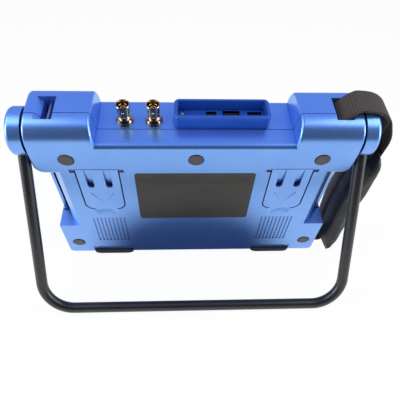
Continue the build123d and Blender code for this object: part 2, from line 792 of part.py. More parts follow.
def flip_foot(turn):
    """A flat moulded foot with a rounded nose on its hinge pin, two channels and an arrow."""
    middle = turn * foot_side
    with BuildPart() as foot:
        with BuildSketch(Plane.XY.offset(-foot_sink)) as flap:
            with Locations((middle, (foot_low + foot_pin_height) / 2)):
                Rectangle(foot_width, foot_pin_height - foot_low)
            fillet(flap.vertices().group_by(Axis.Y)[0], foot_corner_radius)
        extrude(flap.sketch, amount=-foot_thickness)
        with Locations(Plane(origin=(middle, foot_pin_height, -foot_axis_depth), z_dir=(1, 0, 0))):
            Cylinder(foot_thickness / 2, foot_width)
            Cylinder(foot_pin_diameter / 2 + fit_gap, 2 * foot_width, mode=Mode.SUBTRACT)
        # Two channels run down from the hinge and deepen into holes with round ends.
        for lane in (-foot_channel_side, foot_channel_side):
            with BuildSketch(Plane.YZ.offset(middle + lane - foot_channel_width / 2)) as ramp:
                Polygon((foot_pin_height + foot_thickness, 0), (foot_pin_height, -foot_sink - channel_start),
                        (foot_hole_top, -foot_sink - channel_end), (foot_hole_top, 0), align=None)
            extrude(ramp.sketch, amount=foot_channel_width, mode=Mode.SUBTRACT)
            with BuildSketch() as hole:
                with Locations((middle + lane, foot_channel_end)):
                    Circle(foot_channel_width / 2)
                with Locations((middle + lane, (foot_channel_end + foot_hole_top) / 2)):
                    Rectangle(foot_channel_width, foot_hole_top - foot_channel_end)
            extrude(hole.sketch, amount=-foot_sink - foot_hole_depth, mode=Mode.SUBTRACT)
        # The arrow is a shallow three-cornered dish, deepest along its upper edge.
        with BuildSketch(Plane.XY.offset(-foot_sink)) as arrow:
            with Locations((middle, 0)):
                Polygon((-arrow_half_width, arrow_top), (arrow_half_width, arrow_top),
                        (0, arrow_top - arrow_height), align=None)
        dish = extrude(arrow.sketch, amount=-arrow_depth, mode=Mode.PRIVATE)
        floor = Plane(origin=(middle, arrow_top, -foot_sink - arrow_depth), x_dir=(1, 0, 0),
                      z_dir=(0, arrow_depth, arrow_height))
        add(split(dish, bisect_by=floor, keep=Keep.TOP, mode=Mode.PRIVATE), mode=Mode.SUBTRACT)
    return foot


flip_foot_left = flip_foot(-1)
finish(flip_foot_left, "flip_foot_left")
flip_foot_right = flip_foot(1)
finish(flip_foot_right, "flip_foot_right")

with BuildPart() as foot_pins:
    for x, y in foot_places:
        with Locations(Plane(origin=(x, foot_pin_height, -foot_axis_depth), z_dir=(1, 0, 0))):
            Cylinder(foot_pin_diameter / 2, foot_pin_length)
finish(foot_pins, "foot_pins")

# The bail: one bent tube whose ends are held in the bores of the two knuckles.
swing = radians(handle_angle)
leg_way = Vector(0, -cos(swing), sin(swing))
bail_plane = Plane(origin=(0, pivot_height, -seam_depth), x_dir=(1, 0, 0),
                   z_dir=(0, -sin(swing), -cos(swing)))
with BuildPart() as handle_tube:
    with BuildLine(bail_plane) as bail:
        FilletPolyline((leg_side, tube_start), (leg_side, handle_reach), (-leg_side, handle_reach),
                       (-leg_side, tube_start), radius=handle_bend)
    with BuildSketch(Plane(origin=bail.line @ 0, z_dir=bail.line % 0)):
        Circle(handle_diameter / 2)
        Circle(handle_diameter / 2 - handle_tube_wall, mode=Mode.SUBTRACT)
    sweep()
finish(handle_tube, "handle_tube")


def knuckle(turn):
    """A round end piece of the bail, bored for its pivot, its bolt head, its cap and the tube."""
    with BuildPart() as end:
        with BuildSketch(outward(turn * knuckle_inner, pivot_height, -seam_depth)) as disc:
            Circle(shoulder_radius)
        extrude(disc.sketch, amount=knuckle_width)
        rims = end.edges().filter_by(GeomType.CIRCLE).sort_by(Axis.X)
        fillet(rims[-1 if turn > 0 else 0], knuckle_edge_radius)
        bores = ((pivot_shank_diameter / 2 + fit_gap, knuckle_inner - 1, knuckle_outer + 1),
                 (pivot_head_diameter / 2 + seat_gap, head_seat, knuckle_outer + 1),
                 (pivot_cap_diameter / 2 + fit_gap, cap_seat, knuckle_outer + 1),
                 (washer_diameter / 2 + seat_gap, knuckle_inner - 1, washer_seat))
        for radius, start, stop in bores:
            with BuildSketch(outward(turn * start, pivot_height, -seam_depth)) as bore:
                Circle(radius)
            extrude(bore.sketch, amount=stop - start, mode=Mode.SUBTRACT)
        tube_root = Vector(turn * leg_side, pivot_height, -seam_depth) + leg_way * (tube_start - seat_gap)
        with BuildSketch(Plane(origin=tube_root, z_dir=leg_way)) as socket:
            Circle(handle_diameter / 2 + fit_gap)
        extrude(socket.sketch, amount=shoulder_radius, mode=Mode.SUBTRACT)
    return end


handle_knuckle_right = knuckle(1)
finish(handle_knuckle_right, "handle_knuckle_right")
handle_knuckle_left = knuckle(-1)
finish(handle_knuckle_left, "handle_knuckle_left")

# Shoulder bolts: the head clamps nothing, so the knuckle turns between it and the washer.
with BuildPart() as pivot_bolts:
    for radius, start, stop in ((pivot_head_diameter / 2, head_seat + running_gap, cap_seat - seat_gap),
                                (pivot_shank_diameter / 2, half_width - wall, head_seat + running_gap),
                                (pivot_thread_diameter / 2, bush_inner_end, half_width - wall)):
        for turn in (-1, 1):
            with BuildSketch(outward(turn * start, pivot_height, -seam_depth)):
                Circle(radius)
            extrude(amount=stop - start)
finish(pivot_bolts, "pivot_bolts")

with BuildPart() as pivot_bushes:
    flange_end = half_width - wall - bush_flange_thickness
    for radius, start, stop in ((bush_diameter / 2, bush_inner_end, half_width),
                                (bush_flange_diameter / 2, flange_end, half_width - wall)):
        for turn in (-1, 1):
            with BuildSketch(outward(turn * start, pivot_height, -seam_depth)):
                Circle(radius)
            extrude(amount=stop - start)
    for radius, start, stop in ((pivot_thread_diameter / 2 + fit_gap, bush_inner_end - 1, half_width),
                                (pivot_shank_diameter / 2 + fit_gap, half_width - wall, half_width + 1)):
        for turn in (-1, 1):
            with BuildSketch(outward(turn * start, pivot_height, -seam_depth)):
                Circle(radius)
            extrude(amount=stop - start, mode=Mode.SUBTRACT)
finish(pivot_bushes, "pivot_bushes")

with BuildPart() as friction_washers:
    for turn in (-1, 1):
        with BuildSketch(outward(turn * (half_width + running_gap), pivot_height, -seam_depth)):
            Circle(washer_diameter / 2)
            Circle(pivot_shank_diameter / 2 + fit_gap, mode=Mode.SUBTRACT)
        extrude(amount=washer_thickness)
finish(friction_washers, "friction_washers")

with BuildPart() as knuckle_caps:
    for turn in (-1, 1):
        with BuildSketch(outward(turn * cap_seat, pivot_height, -seam_depth)):
            Circle(pivot_cap_diameter / 2)
        extrude(amount=pivot_cap_thickness)
finish(knuckle_caps, "knuckle_caps")

# Steel pins cross the strap slots, their ends trapped between the shells.
with BuildPart() as strap_pins:
    for high in (pin_high, low_pin_depth):
        with Locations((0, high, slot_middle)):
            with GridLocations(2 * slot_side, 1, 2, 1):
                Cylinder(pin_diameter / 2, slot_length + 2 * pin_seat)
finish(strap_pins, "strap_pins")

# The strap: webbing looped on the upper and the lower pin, with a padded grip between.
pin_hole = pin_diameter / 2 + soft_gap
webbing_front = webbing_rear + webbing_width
strap_out = knuckle_outer + strap_stand_off
with BuildPart() as strap_webbing_upper:
    with BuildLine() as upper_route:
        FilletPolyline((slot_side, pin_high), (slot_side + webbing_run, case_height + webbing_rise),
                       (knuckle_outer + webbing_reach, case_height + webbing_reach),
                       (strap_out, pivot_height - webbing_fall), (strap_out, grip_top + soft_gap),
                       radius=webbing_bends)
    with BuildSketch(Plane.XY.offset(-webbing_front)):
        trace(upper_route.line, line_width=webbing_thickness)
        with Locations((slot_side, pin_high)):
            Circle(pin_hole + webbing_thickness)
            Circle(pin_hole, mode=Mode.SUBTRACT)
    extrude(amount=webbing_width)
finish(strap_webbing_upper, "strap_webbing_upper")

with BuildPart() as strap_webbing_lower:
    with BuildLine() as lower_route:
        FilletPolyline((slot_side, low_pin_depth), (slot_side + webbing_lean, -webbing_drop),
                       (grip_foot_side, -webbing_drop), (grip_foot_side, grip_bottom - soft_gap), radius=webbing_bend)
    with BuildSketch(Plane.XY.offset(-webbing_front)):
        trace(lower_route.line, line_width=webbing_thickness)
        with Locations((slot_side, low_pin_depth)):
            Circle(pin_hole + webbing_thickness)
            Circle(pin_hole, mode=Mode.SUBTRACT)
    extrude(amount=webbing_width)
finish(strap_webbing_lower, "strap_webbing_lower")

# The grip is a stuffed sleeve, slimmer towards its lower end and clear of the bail all the way.
with BuildPart() as hand_grip:
    for high, near, far, rear, front in grip_sections:
        with BuildSketch(level(high)):
            with Locations(((knuckle_outer + near + knuckle_outer + far) / 2, (rear + front) / 2)):
                RectangleRounded(far - near, front - rear, min(grip_edge_radius, 0.45 * (far - near)))
    loft()
finish(hand_grip, "hand_grip")

# The port bay: a moulded tub on the deck whose floor carries the data and charging sockets.
socket_sizes = (("usb_a", usb_side, usb_width, usb_thickness, usb_tongue),
                ("mini_usb", mini_side, mini_width, mini_thickness, mini_tongue),
                ("data", data_side, data_width, data_thickness, data_tongue))
with BuildPart() as port_bay:
    with BuildSketch(level(deck_height)):
        with Locations(bay_middle):
            RectangleRounded(bay_width, bay_length, bay_corner_radius)
    extrude(amount=bay_height)
    fillet(port_bay.edges().group_by(Axis.Y)[-1], bay_edge_radius)
    with BuildSketch(level(bay_rim)):
        with Locations(bay_middle):
            RectangleRounded(bay_width - 2 * bay_wall, bay_length - 2 * bay_wall,
                             bay_corner_radius - bay_wall)
    extrude(amount=bay_floor - bay_height, mode=Mode.SUBTRACT)
    with BuildSketch(level(deck_height)):
        with Locations(bay_middle):
            Rectangle(root_width, root_deep)
            Rectangle(root_width - 2 * bay_root_wall, root_deep - 2 * bay_root_wall, mode=Mode.SUBTRACT)
    extrude(amount=-bay_root_length)
    with BuildSketch(level(bay_floor_high - bay_floor / 2)):
        with Locations(*port_posts):
            Circle(port_post_diameter / 2)
    extrude(amount=port_board_high - bay_floor_high + bay_floor / 2)
    with BuildSketch(level(port_board_high)):
        with Locations(*port_posts):
            Circle(port_screw_diameter / 2 + fit_gap)
    extrude(amount=port_screw_length, mode=Mode.SUBTRACT)
    with BuildSketch(level(bay_floor_high)):
        for name, side, width, thickness, tongue in socket_sizes:
            with Locations((side, socket_depth)):
                Rectangle(width + 2 * seat_gap, thickness + 2 * seat_gap)
        with Locations((lamp_side, socket_depth)):
            Circle(lamp_diameter / 2 + fit_gap)
        with Locations((reset_side, reset_depth)):
            Circle(reset_diameter / 2)
    extrude(amount=-bay_floor - bay_root_length, mode=Mode.SUBTRACT)
finish(port_bay, "port_bay")

# Each socket is a folded metal shell, closed at its foot on the port board, round a moulded tongue.
for name, side, width, thickness, tongue in socket_sizes:
    with BuildPart() as socket:
        with BuildSketch(level(port_board_high)):
            with Locations((side, socket_depth)):
                RectangleRounded(width, thickness, socket_sheet + 0.2)
        extrude(amount=socket_length)
        with BuildSketch(level(socket_top)):
            with Locations((side, socket_depth)):
                Rectangle(width - 2 * socket_sheet, thickness - 2 * socket_sheet)
        extrude(amount=socket_sheet - socket_length, mode=Mode.SUBTRACT)
    finish(socket, name + "_socket")
    with BuildPart() as blade:
        inside_width = width - 2 * socket_sheet - 2 * fit_gap
        inside_thickness = thickness - 2 * socket_sheet - 2 * fit_gap
        with BuildSketch(level(port_board_high + socket_sheet)):
            with Locations((side, socket_depth)):
                Rectangle(inside_width, inside_thickness)
        extrude(amount=socket_block)
        with BuildSketch(level(port_board_high + socket_sheet)):
            with Locations((side, socket_depth - (inside_thickness - tongue) * tongue_shift)):
                Rectangle(inside_width - 2 * socket_sheet, tongue)
        extrude(amount=socket_length - socket_sheet - 2 * socket_proud)
    finish(blade, name + "_tongue")

with BuildPart() as charge_lamp:
    with BuildSketch(level(bay_floor_high + socket_proud - lamp_length)):
        with Locations((lamp_side, socket_depth)):
            Circle(lamp_diameter / 2)
    extrude(amount=lamp_length)
    fillet(charge_lamp.edges().group_by(Axis.Y)[-1], lamp_diameter / 2 - 0.4)
finish(charge_lamp, "charge_lamp")

with BuildPart() as port_board:
    board_middle = (port_board_left + port_board_right) / 2
    with BuildSketch(level(port_board_high)):
        with Locations((board_middle, bay_middle[1])):
            Rectangle(port_board_right - port_board_left, root_deep)
        with Locations(*port_posts):
            Circle(port_screw_diameter / 2 + screw_hole_gap, mode=Mode.SUBTRACT)
    extrude(amount=-port_board_thickness)
finish(port_board, "port_board")

with BuildPart() as port_board_screws:
    under = port_board_high - port_board_thickness
    head = port_screw_diameter / 2
    for radius, start, length in ((2 * head, under - head, head), (head, under, port_screw_length)):
        with BuildSketch(level(start)):
            with Locations(*port_posts):
                Circle(radius)
        extrude(amount=length)
finish(port_board_screws, "port_board_screws")

# The coaxial sockets: turned bodies put up through the deck and held by a washer and a nut above it.
washer_top = deck_height + bnc_washer_thickness
nut_top = washer_top + bnc_nut_thickness
thread_top = nut_top + bnc_thread_end
barrel_foot = bnc_top - bnc_barrel_length
flange_foot = deck_inside - bnc_flange_thickness
bore_foot = bnc_top - bnc_bore_depth
with BuildPart() as bnc_shells:
    for side in bnc_places:
        turned([(0, flange_foot), (bnc_flange_diameter / 2, flange_foot), (bnc_flange_diameter / 2, deck_inside),
                (bnc_thread_diameter / 2, deck_inside), (bnc_thread_diameter / 2, thread_top),
                (bnc_neck_diameter / 2, thread_top), (bnc_neck_diameter / 2, barrel_foot),
                (bnc_barrel_diameter / 2, barrel_foot + bnc_edge),
                (bnc_barrel_diameter / 2, bnc_top - bnc_edge),
                (bnc_barrel_diameter / 2 - bnc_edge, bnc_top), (0, bnc_top)], side, bnc_depth)
        with Locations(Plane(origin=(side, bnc_lug_high, -bnc_depth), z_dir=(1, 0, 0))):
            Cylinder(bnc_lug_diameter / 2, bnc_lug_span)
        turned([(0, flange_foot), (bnc_seat_diameter / 2, flange_foot), (bnc_seat_diameter / 2, bore_foot),
                (bnc_bore_diameter / 2, bore_foot), (bnc_bore_diameter / 2, bnc_top), (0, bnc_top)],
               side, bnc_depth, Mode.SUBTRACT)
finish(bnc_shells, "bnc_shells")

with BuildPart() as bnc_insulators:
    for side in bnc_places:
        sleeve_bore = bnc_contact_diameter / 2 + fit_gap
        sleeve_foot = bnc_seat_diameter / 2 - fit_gap
        turned([(sleeve_bore, flange_foot), (sleeve_foot, flange_foot), (sleeve_foot, bore_foot),
                (bnc_insulator_diameter / 2, bore_foot), (bnc_insulator_diameter / 2, bnc_top - 1),
                (sleeve_bore, bnc_top - 1)], side, bnc_depth)
finish(bnc_insulators, "bnc_insulators")

with BuildPart() as bnc_contacts:
    for side in bnc_places:
        turned([(0, flange_foot - bnc_tail), (bnc_contact_diameter / 2, flange_foot - bnc_tail),
                (bnc_contact_diameter / 2, bnc_top - 1.2), (bnc_contact_bore / 2, bnc_top - 1.2),
                (bnc_contact_bore / 2, bnc_top - bnc_bore_depth / 2), (0, bnc_top - bnc_bore_depth / 2)],
               side, bnc_depth)
finish(bnc_contacts, "bnc_contacts")

with BuildPart() as bnc_nuts:
    with BuildSketch(level(washer_top)):
        with Locations(*[(side, bnc_depth) for side in bnc_places]):
            RegularPolygon(bnc_nut_flats / 2, 6, major_radius=False)
            Circle(bnc_thread_diameter / 2 + fit_gap, mode=Mode.SUBTRACT)
    extrude(amount=bnc_nut_thickness)
finish(bnc_nuts, "bnc_nuts")

with BuildPart() as bnc_washers:
    with BuildSketch(level(deck_height)):
        with Locations(*[(side, bnc_depth) for side in bnc_places]):
            Circle(bnc_washer_diameter / 2)
            Circle(bnc_thread_diameter / 2 + fit_gap, mode=Mode.SUBTRACT)
    extrude(amount=bnc_washer_thickness)
finish(bnc_washers, "bnc_washers")

# Lean the whole detector back on its bail, then set it down with the origin under its middle.
for piece in finished:
    piece.part.move(Location((0, 0, 0), (90 + lean, 0, 0)))
boxes = [piece.part.bounding_box() for piece in finished]
left = min(box.min.X for box in boxes)
right = max(box.max.X for box in boxes)
near = min(box.min.Y for box in boxes)
far = max(box.max.Y for box in boxes)
floor = min(box.min.Z for box in boxes)
for piece in finished:
    piece.part.move(Location((-(left + right) / 2, -(near + far) / 2, -floor)))
    export_step(piece.part, f"parts/{piece.part.label}.step")
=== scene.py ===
from math import cos, pi, radians, sin
import json
import bpy
import bmesh
from mathutils import Matrix, Vector
from mathutils.bvhtree import BVHTree


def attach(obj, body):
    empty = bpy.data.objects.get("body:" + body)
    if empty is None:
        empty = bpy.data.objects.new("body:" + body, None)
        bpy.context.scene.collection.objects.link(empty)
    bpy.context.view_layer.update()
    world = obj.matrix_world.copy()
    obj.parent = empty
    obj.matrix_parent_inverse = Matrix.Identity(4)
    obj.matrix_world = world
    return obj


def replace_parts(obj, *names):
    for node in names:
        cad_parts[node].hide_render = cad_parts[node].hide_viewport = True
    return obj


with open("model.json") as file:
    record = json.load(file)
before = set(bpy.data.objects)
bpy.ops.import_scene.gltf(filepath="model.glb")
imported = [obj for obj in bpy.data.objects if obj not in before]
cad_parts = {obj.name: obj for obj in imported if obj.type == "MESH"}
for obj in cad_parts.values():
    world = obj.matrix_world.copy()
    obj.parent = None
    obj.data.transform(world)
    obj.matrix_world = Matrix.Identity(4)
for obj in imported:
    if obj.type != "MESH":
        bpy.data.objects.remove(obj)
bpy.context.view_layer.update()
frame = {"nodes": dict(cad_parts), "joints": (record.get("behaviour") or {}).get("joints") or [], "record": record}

# The case's own axes, which every piece below is placed by: across it, up its back, and in
# through it from its back, in millimetres from the middle of the back's lower edge.
mm = 0.001
pivot_high = 153.0
pivot_deep = 18.0
knuckle_outer = 134.6
across = Vector((1, 0, 0))
upward = Vector(next(m["axis"] for m in frame["record"]["mounts"] if m["name"] == "coaxial_socket_1"))
inward = upward.cross(across)
pivot = Vector(next(j["pos_m"] for j in frame["joints"] if j["name"] == "bail_swing"))
corner = pivot - (upward * pivot_high + inward * pivot_deep) * mm


def place(side, high, deep):
    """The point of the frame at a side, a height and a depth of the case, all in millimetres."""
    return corner + (across * side + upward * high + inward * deep) * mm


# Camera: it looks down on the back of the detector from where the photograph was taken, through
# a normal lens, turned a little on its axis as a hand-held camera is.
camera_spot = place(-11.90, 372.07, -198.91)
camera_facing = (place(7.29, 45.07, 30.67) - camera_spot).normalized()
camera_top = across * 0.00595 + upward * 0.57484 + inward * 0.81825
camera_right = camera_facing.cross(camera_top).normalized()
camera_data = bpy.data.cameras.new("camera")
camera_data.sensor_width = 36
camera_data.lens = 36.478
camera_data.clip_start = 0.01
camera = bpy.data.objects.new("camera", camera_data)
turned = Matrix((camera_right, camera_right.cross(camera_facing), -camera_facing)).transposed()
camera.location = camera_spot
camera.rotation_mode = "QUATERNION"
camera.rotation_quaternion = turned.to_quaternion()
bpy.context.scene.collection.objects.link(camera)
bpy.context.scene.camera = camera
bpy.context.scene.view_settings.view_transform = "Standard"


# Studio: a white table, which keeps a faint shadow, under a white tent. The tent is white where it
# is seen, a soft blue in reflections, and a little grey where it only lights the detector.
def linear(code):
    """An sRGB hex colour as linear red, green, blue and alpha."""
    parts = [int(code[i:i + 2], 16) / 255 for i in (0, 2, 4)]
    return [c / 12.92 if c <= 0.04045 else ((c + 0.055) / 1.055) ** 2.4 for c in parts] + [1]


def add_node(tree, kind, inputs=None, **settings):
    """Add a node, with its settings, and with inputs that are values or other nodes' outputs."""
    new = tree.nodes.new(kind)
    for key, value in settings.items():
        setattr(new, key, value)
    for key, value in (inputs or {}).items():
        if isinstance(value, bpy.types.NodeSocket):
            tree.links.new(value, new.inputs[key])
        else:
            new.inputs[key].default_value = value
    return new


def new_object(name, mesh, material):
    """An object for a mesh, with its material, linked to the scene."""
    mesh.materials.append(material)
    made = bpy.data.objects.new(name, mesh)
    bpy.context.scene.collection.objects.link(made)
    return made


tent = bpy.data.worlds.new("white_tent")
bpy.context.scene.world = tent
tent.use_nodes = True
tree = tent.node_tree
tree.nodes.clear()
ray = add_node(tree, "ShaderNodeLightPath")
lit = add_node(tree, "ShaderNodeBackground", {"Color": linear("e9edf6"), "Strength": 0.62})
mirrored = add_node(tree, "ShaderNodeBackground", {"Color": linear("9aabe4"), "Strength": 1.0})
seen = add_node(tree, "ShaderNodeBackground", {"Color": linear("ffffff"), "Strength": 1.0})
unseen = add_node(tree, "ShaderNodeMixShader", {0: ray.outputs["Is Glossy Ray"], 1: lit.outputs[0],
                                                2: mirrored.outputs[0]})
direct = add_node(tree, "ShaderNodeMath", {0: ray.outputs["Is Camera Ray"],
                                           1: ray.outputs["Is Transmission Ray"]}, operation="MAXIMUM")
tent_mix = add_node(tree, "ShaderNodeMixShader", {0: direct.outputs[0], 1: unseen.outputs[0],
                                                  2: seen.outputs[0]})
add_node(tree, "ShaderNodeOutputWorld", {"Surface": tent_mix.outputs[0]})

table_white = 0.94
table_size = 4.0
table_drop = 0.0002
table_material = bpy.data.materials.new("white_table")
table_material.use_nodes = True
tree = table_material.node_tree
tree.nodes.clear()
ray = add_node(tree, "ShaderNodeLightPath")
paper = add_node(tree, "ShaderNodeBsdfDiffuse", {"Color": linear("f4f5f8")})
bright = add_node(tree, "ShaderNodeEmission", {"Color": linear("ffffff"), "Strength": 1.0})
direct = add_node(tree, "ShaderNodeMath", {0: ray.outputs["Is Camera Ray"], 1: ray.outputs["Is Glossy Ray"]},
                  operation="MAXIMUM")
either = add_node(tree, "ShaderNodeMath", {0: direct.outputs[0], 1: ray.outputs["Is Transmission Ray"]},
                  operation="MAXIMUM")
share = add_node(tree, "ShaderNodeMath", {0: either.outputs[0], 1: table_white}, operation="MULTIPLY")
table_mix = add_node(tree, "ShaderNodeMixShader", {0: share.outputs[0], 1: paper.outputs[0],
                                                   2: bright.outputs[0]})
add_node(tree, "ShaderNodeOutputMaterial", {"Surface": table_mix.outputs[0]})
table_mesh = bpy.data.meshes.new("table")
corners = [(x * table_size, y * table_size, -table_drop) for x, y in ((-1, -1), (1, -1), (1, 1), (-1, 1))]
table_mesh.from_pydata(corners, [], [(0, 1, 2, 3)])
table = new_object("table", table_mesh, table_material)

# Two dark cards that only reflections see, both soft at their edges: one stands behind the camera,
# for the dark band along the rounded shoulders, and one lies at the foot of the back as a painted
# shade on the table there, which the back mirrors as a fade to navy.
card_behind = ((-0.9, -0.34, 0.002), (0.9, -0.40, 0.06), (0.9, -0.62, 0.84), (-0.9, -0.64, 0.78))
foot_shade_card = ((-0.16, -0.09, 0.001), (0.16, -0.09, 0.001), (0.16, 0.05, 0.001), (-0.16, 0.05, 0.001))
for name, outline, colour, middle, half, fading in (
        ("card_behind", card_behind, "141c3c", (0, -0.5, 0.4), (0.95, 0.36, 0.6), 0.15),
        ("foot_shade_card", foot_shade_card, "0c1848", (-0.01, 0.01, 0), (0.115, 0.055, 0.1), 0.5)):
    card_material = bpy.data.materials.new(name)
    card_material.use_nodes = True
    tree = card_material.node_tree
    tree.nodes.clear()
    spot = add_node(tree, "ShaderNodeTexCoord")
    scaled = add_node(tree, "ShaderNodeMapping", {"Vector": spot.outputs["Object"],
                                                  "Location": [-m / h for m, h in zip(middle, half)],
                                                  "Scale": [1 / h for h in half]})
    from_middle = add_node(tree, "ShaderNodeVectorMath", {0: scaled.outputs[0]}, operation="LENGTH")
    cover = add_node(tree, "ShaderNodeMapRange", {"Value": from_middle.outputs["Value"], "From Min": 1.0,
                                                  "From Max": 1.0 - fading}, interpolation_type="SMOOTHSTEP")
    clear = add_node(tree, "ShaderNodeBsdfTransparent")
    paper = add_node(tree, "ShaderNodeEmission", {"Color": linear(colour), "Strength": 1.0})
    mix = add_node(tree, "ShaderNodeMixShader", {0: cover.outputs[0], 1: clear.outputs[0],
                                                 2: paper.outputs[0]})
    add_node(tree, "ShaderNodeOutputMaterial", {"Surface": mix.outputs[0]})
    card_mesh = bpy.data.meshes.new(name)
    card_mesh.from_pydata(outline, [], [(0, 1, 2, 3)])
    card = new_object(name, card_mesh, card_material)
    card.visible_camera = card.visible_diffuse = card.visible_shadow = card.visible_transmission = False

# Lamps: two large soft boxes high over the camera's side of the table, and one low at each side,
# which the rounded edges of the shoulders mirror as bright lines.
for name, spot, aim, width, height, power in (
        ("lamp_over_left", (-0.76, -0.26, 1.0), (0, 0, 0.1), 0.8, 0.62, 3.6),
        ("lamp_over_right", (0.76, -0.26, 1.0), (0, 0, 0.1), 0.8, 0.62, 3.6),
        ("lamp_left", (-0.85, -0.3, 0.3), (0, 0, 0.12), 0.5, 0.45, 4.0),
        ("lamp_right", (0.85, -0.3, 0.3), (0, 0, 0.12), 0.5, 0.45, 4.0)):
    lamp_data = bpy.data.lights.new(name, "AREA")
    lamp_data.shape = "RECTANGLE"
    lamp_data.size = width
    lamp_data.size_y = height
    lamp_data.energy = power
    lamp = bpy.data.objects.new(name, lamp_data)
    lamp.location = spot
    lamp.rotation_mode = "QUATERNION"
    lamp.rotation_quaternion = (Vector(aim) - Vector(spot)).to_track_quat("-Z", "Y")
    bpy.context.scene.collection.objects.link(lamp)


def material_of(name, look):
    """A new material, its Principled shader set as look says, with its tree and that shader."""
    made = bpy.data.materials.new(name)
    made.use_nodes = True
    shader = made.node_tree.nodes["Principled BSDF"]
    for key, value in look.items():
        shader.inputs[key].default_value = value
    return made, made.node_tree, shader


def dress(material, *names):
    """Give CAD nodes their finish."""
    for name in names:
        for holder in frame["nodes"][name].material_slots:
            holder.material = material


cloud_mm = 24.0
painted_shade_samples = 8


def grained(name, look, dark, light, grain_mm, rough_low, rough_high, bump_mm, painted_crevice_shade=None, reach=3.2):
    """A material whose colour, roughness and height vary with grains of a given size. Where it has a
    crevice shade colour, gaps and grooves narrower than its reach darken to it as a painted shade."""
    made, tree, shader = material_of(name, look)
    spot = add_node(tree, "ShaderNodeTexCoord").outputs["Object"]
    grain = add_node(tree, "ShaderNodeTexNoise", {"Vector": spot, "Scale": 1 / (grain_mm * mm),
                                                  "Detail": 3.0})
    cloud = add_node(tree, "ShaderNodeTexNoise", {"Vector": spot, "Scale": 1 / (cloud_mm * mm),
                                                  "Detail": 2.0})
    blend = add_node(tree, "ShaderNodeMath", {0: grain.outputs[0], 1: cloud.outputs[0]},
                     operation="MULTIPLY")
    tone = add_node(tree, "ShaderNodeMapRange", {"Value": blend.outputs[0], "From Min": 0.15,
                                                 "From Max": 0.38})
    colour = add_node(tree, "ShaderNodeMix", {"Factor": tone.outputs[0], 6: linear(dark), 7: linear(light)},
                      data_type="RGBA")
    # Painted shade: where ambient occlusion finds surfaces near, the colour darkens to the crevice shade colour.
    if painted_crevice_shade:
        open_share = add_node(tree, "ShaderNodeAmbientOcclusion", {"Distance": reach * mm},
                              samples=painted_shade_samples)
        shade = add_node(tree, "ShaderNodeMapRange", {"Value": open_share.outputs["AO"], "From Min": 0.25,
                                                      "From Max": 0.75})
        colour = add_node(tree, "ShaderNodeMix", {"Factor": shade.outputs[0], 6: linear(painted_crevice_shade),
                                                  7: colour.outputs[2]}, data_type="RGBA")
    rough = add_node(tree, "ShaderNodeMapRange", {"Value": grain.outputs[0], "From Min": 0.3,
                                                  "From Max": 0.7, "To Min": rough_low,
                                                  "To Max": rough_high})
    relief = add_node(tree, "ShaderNodeBump", {"Height": grain.outputs[0], "Strength": 0.5,
                                               "Distance": bump_mm * mm})
    tree.links.new(colour.outputs[2], shader.inputs["Base Color"])
    tree.links.new(rough.outputs[0], shader.inputs["Roughness"])
    tree.links.new(relief.outputs[0], shader.inputs["Normal"])
    return made


# Housing: two die-cast shells in a satin metallic blue enamel. The flake makes the colour shift
# from pale where it faces the table to navy where it faces the dark, and the coat adds gloss.
# Its crevice shade colour is a painted shade of deep blue in seams and narrow gaps.
blue_paint = grained("metallic_enamel", {"Metallic": 0.86, "Coat Weight": 0.25, "Coat Roughness": 0.18},
                     "78a9f2", "7faff5", 0.7, 0.27, 0.32, 0.002, painted_crevice_shade="2f4fa4")
dress(blue_paint, "rear_shell", "front_shell", "handle_knuckle_right", "handle_knuckle_left", "knuckle_caps")

# Feet: flip-out props moulded in ABS, each on a steel pin in its pocket, and painted with the case.
# Their channels and marks get a painted shade, much darker than the flat paint.
blue_plastic = grained("painted_abs", {"Metallic": 0.7, "Coat Weight": 0.2, "Coat Roughness": 0.25},
                       "7aabf2", "86b6f8", 0.7, 0.32, 0.4, 0.005, painted_crevice_shade="0e1a48", reach=6)
dress(blue_plastic, "flip_foot_left", "flip_foot_right")

# Port bay: a tub moulded in ABS coloured right through, which stands on the deck with its root let
# into it. It is deeper in colour than the paint, and has a plain plastic gloss.
# Its crevice shade colour is a painted shade of dark navy in narrow gaps and hollows.
blue_gloss = grained("gloss_abs", {"IOR": 1.5, "Coat Weight": 0.15, "Coat Roughness": 0.15},
                     "1a49a6", "1d50b2", 1.2, 0.3, 0.38, 0.003, painted_crevice_shade="0c1a58")
dress(blue_gloss, "port_bay")

# Rubber: grey-brown plugs over the screws, and the navy gasket in the seam. Rubber is matt and
# scatters a soft sheen at its edges.
rubber_look = {"IOR": 1.52, "Sheen Weight": 0.15, "Sheen Roughness": 0.5}
# The plugs' crevice shade colour is a painted shade of near black at their rims.
grey_rubber = grained("grey_rubber", rubber_look, "383432", "423d3a", 0.7, 0.5, 0.65, 0.01, painted_crevice_shade="17181c")
navy_rubber = grained("navy_rubber", rubber_look, "14224e", "1a2a5c", 0.7, 0.55, 0.7, 0.02)
dress(grey_rubber, "screw_plugs")
dress(navy_rubber, "shell_gasket")

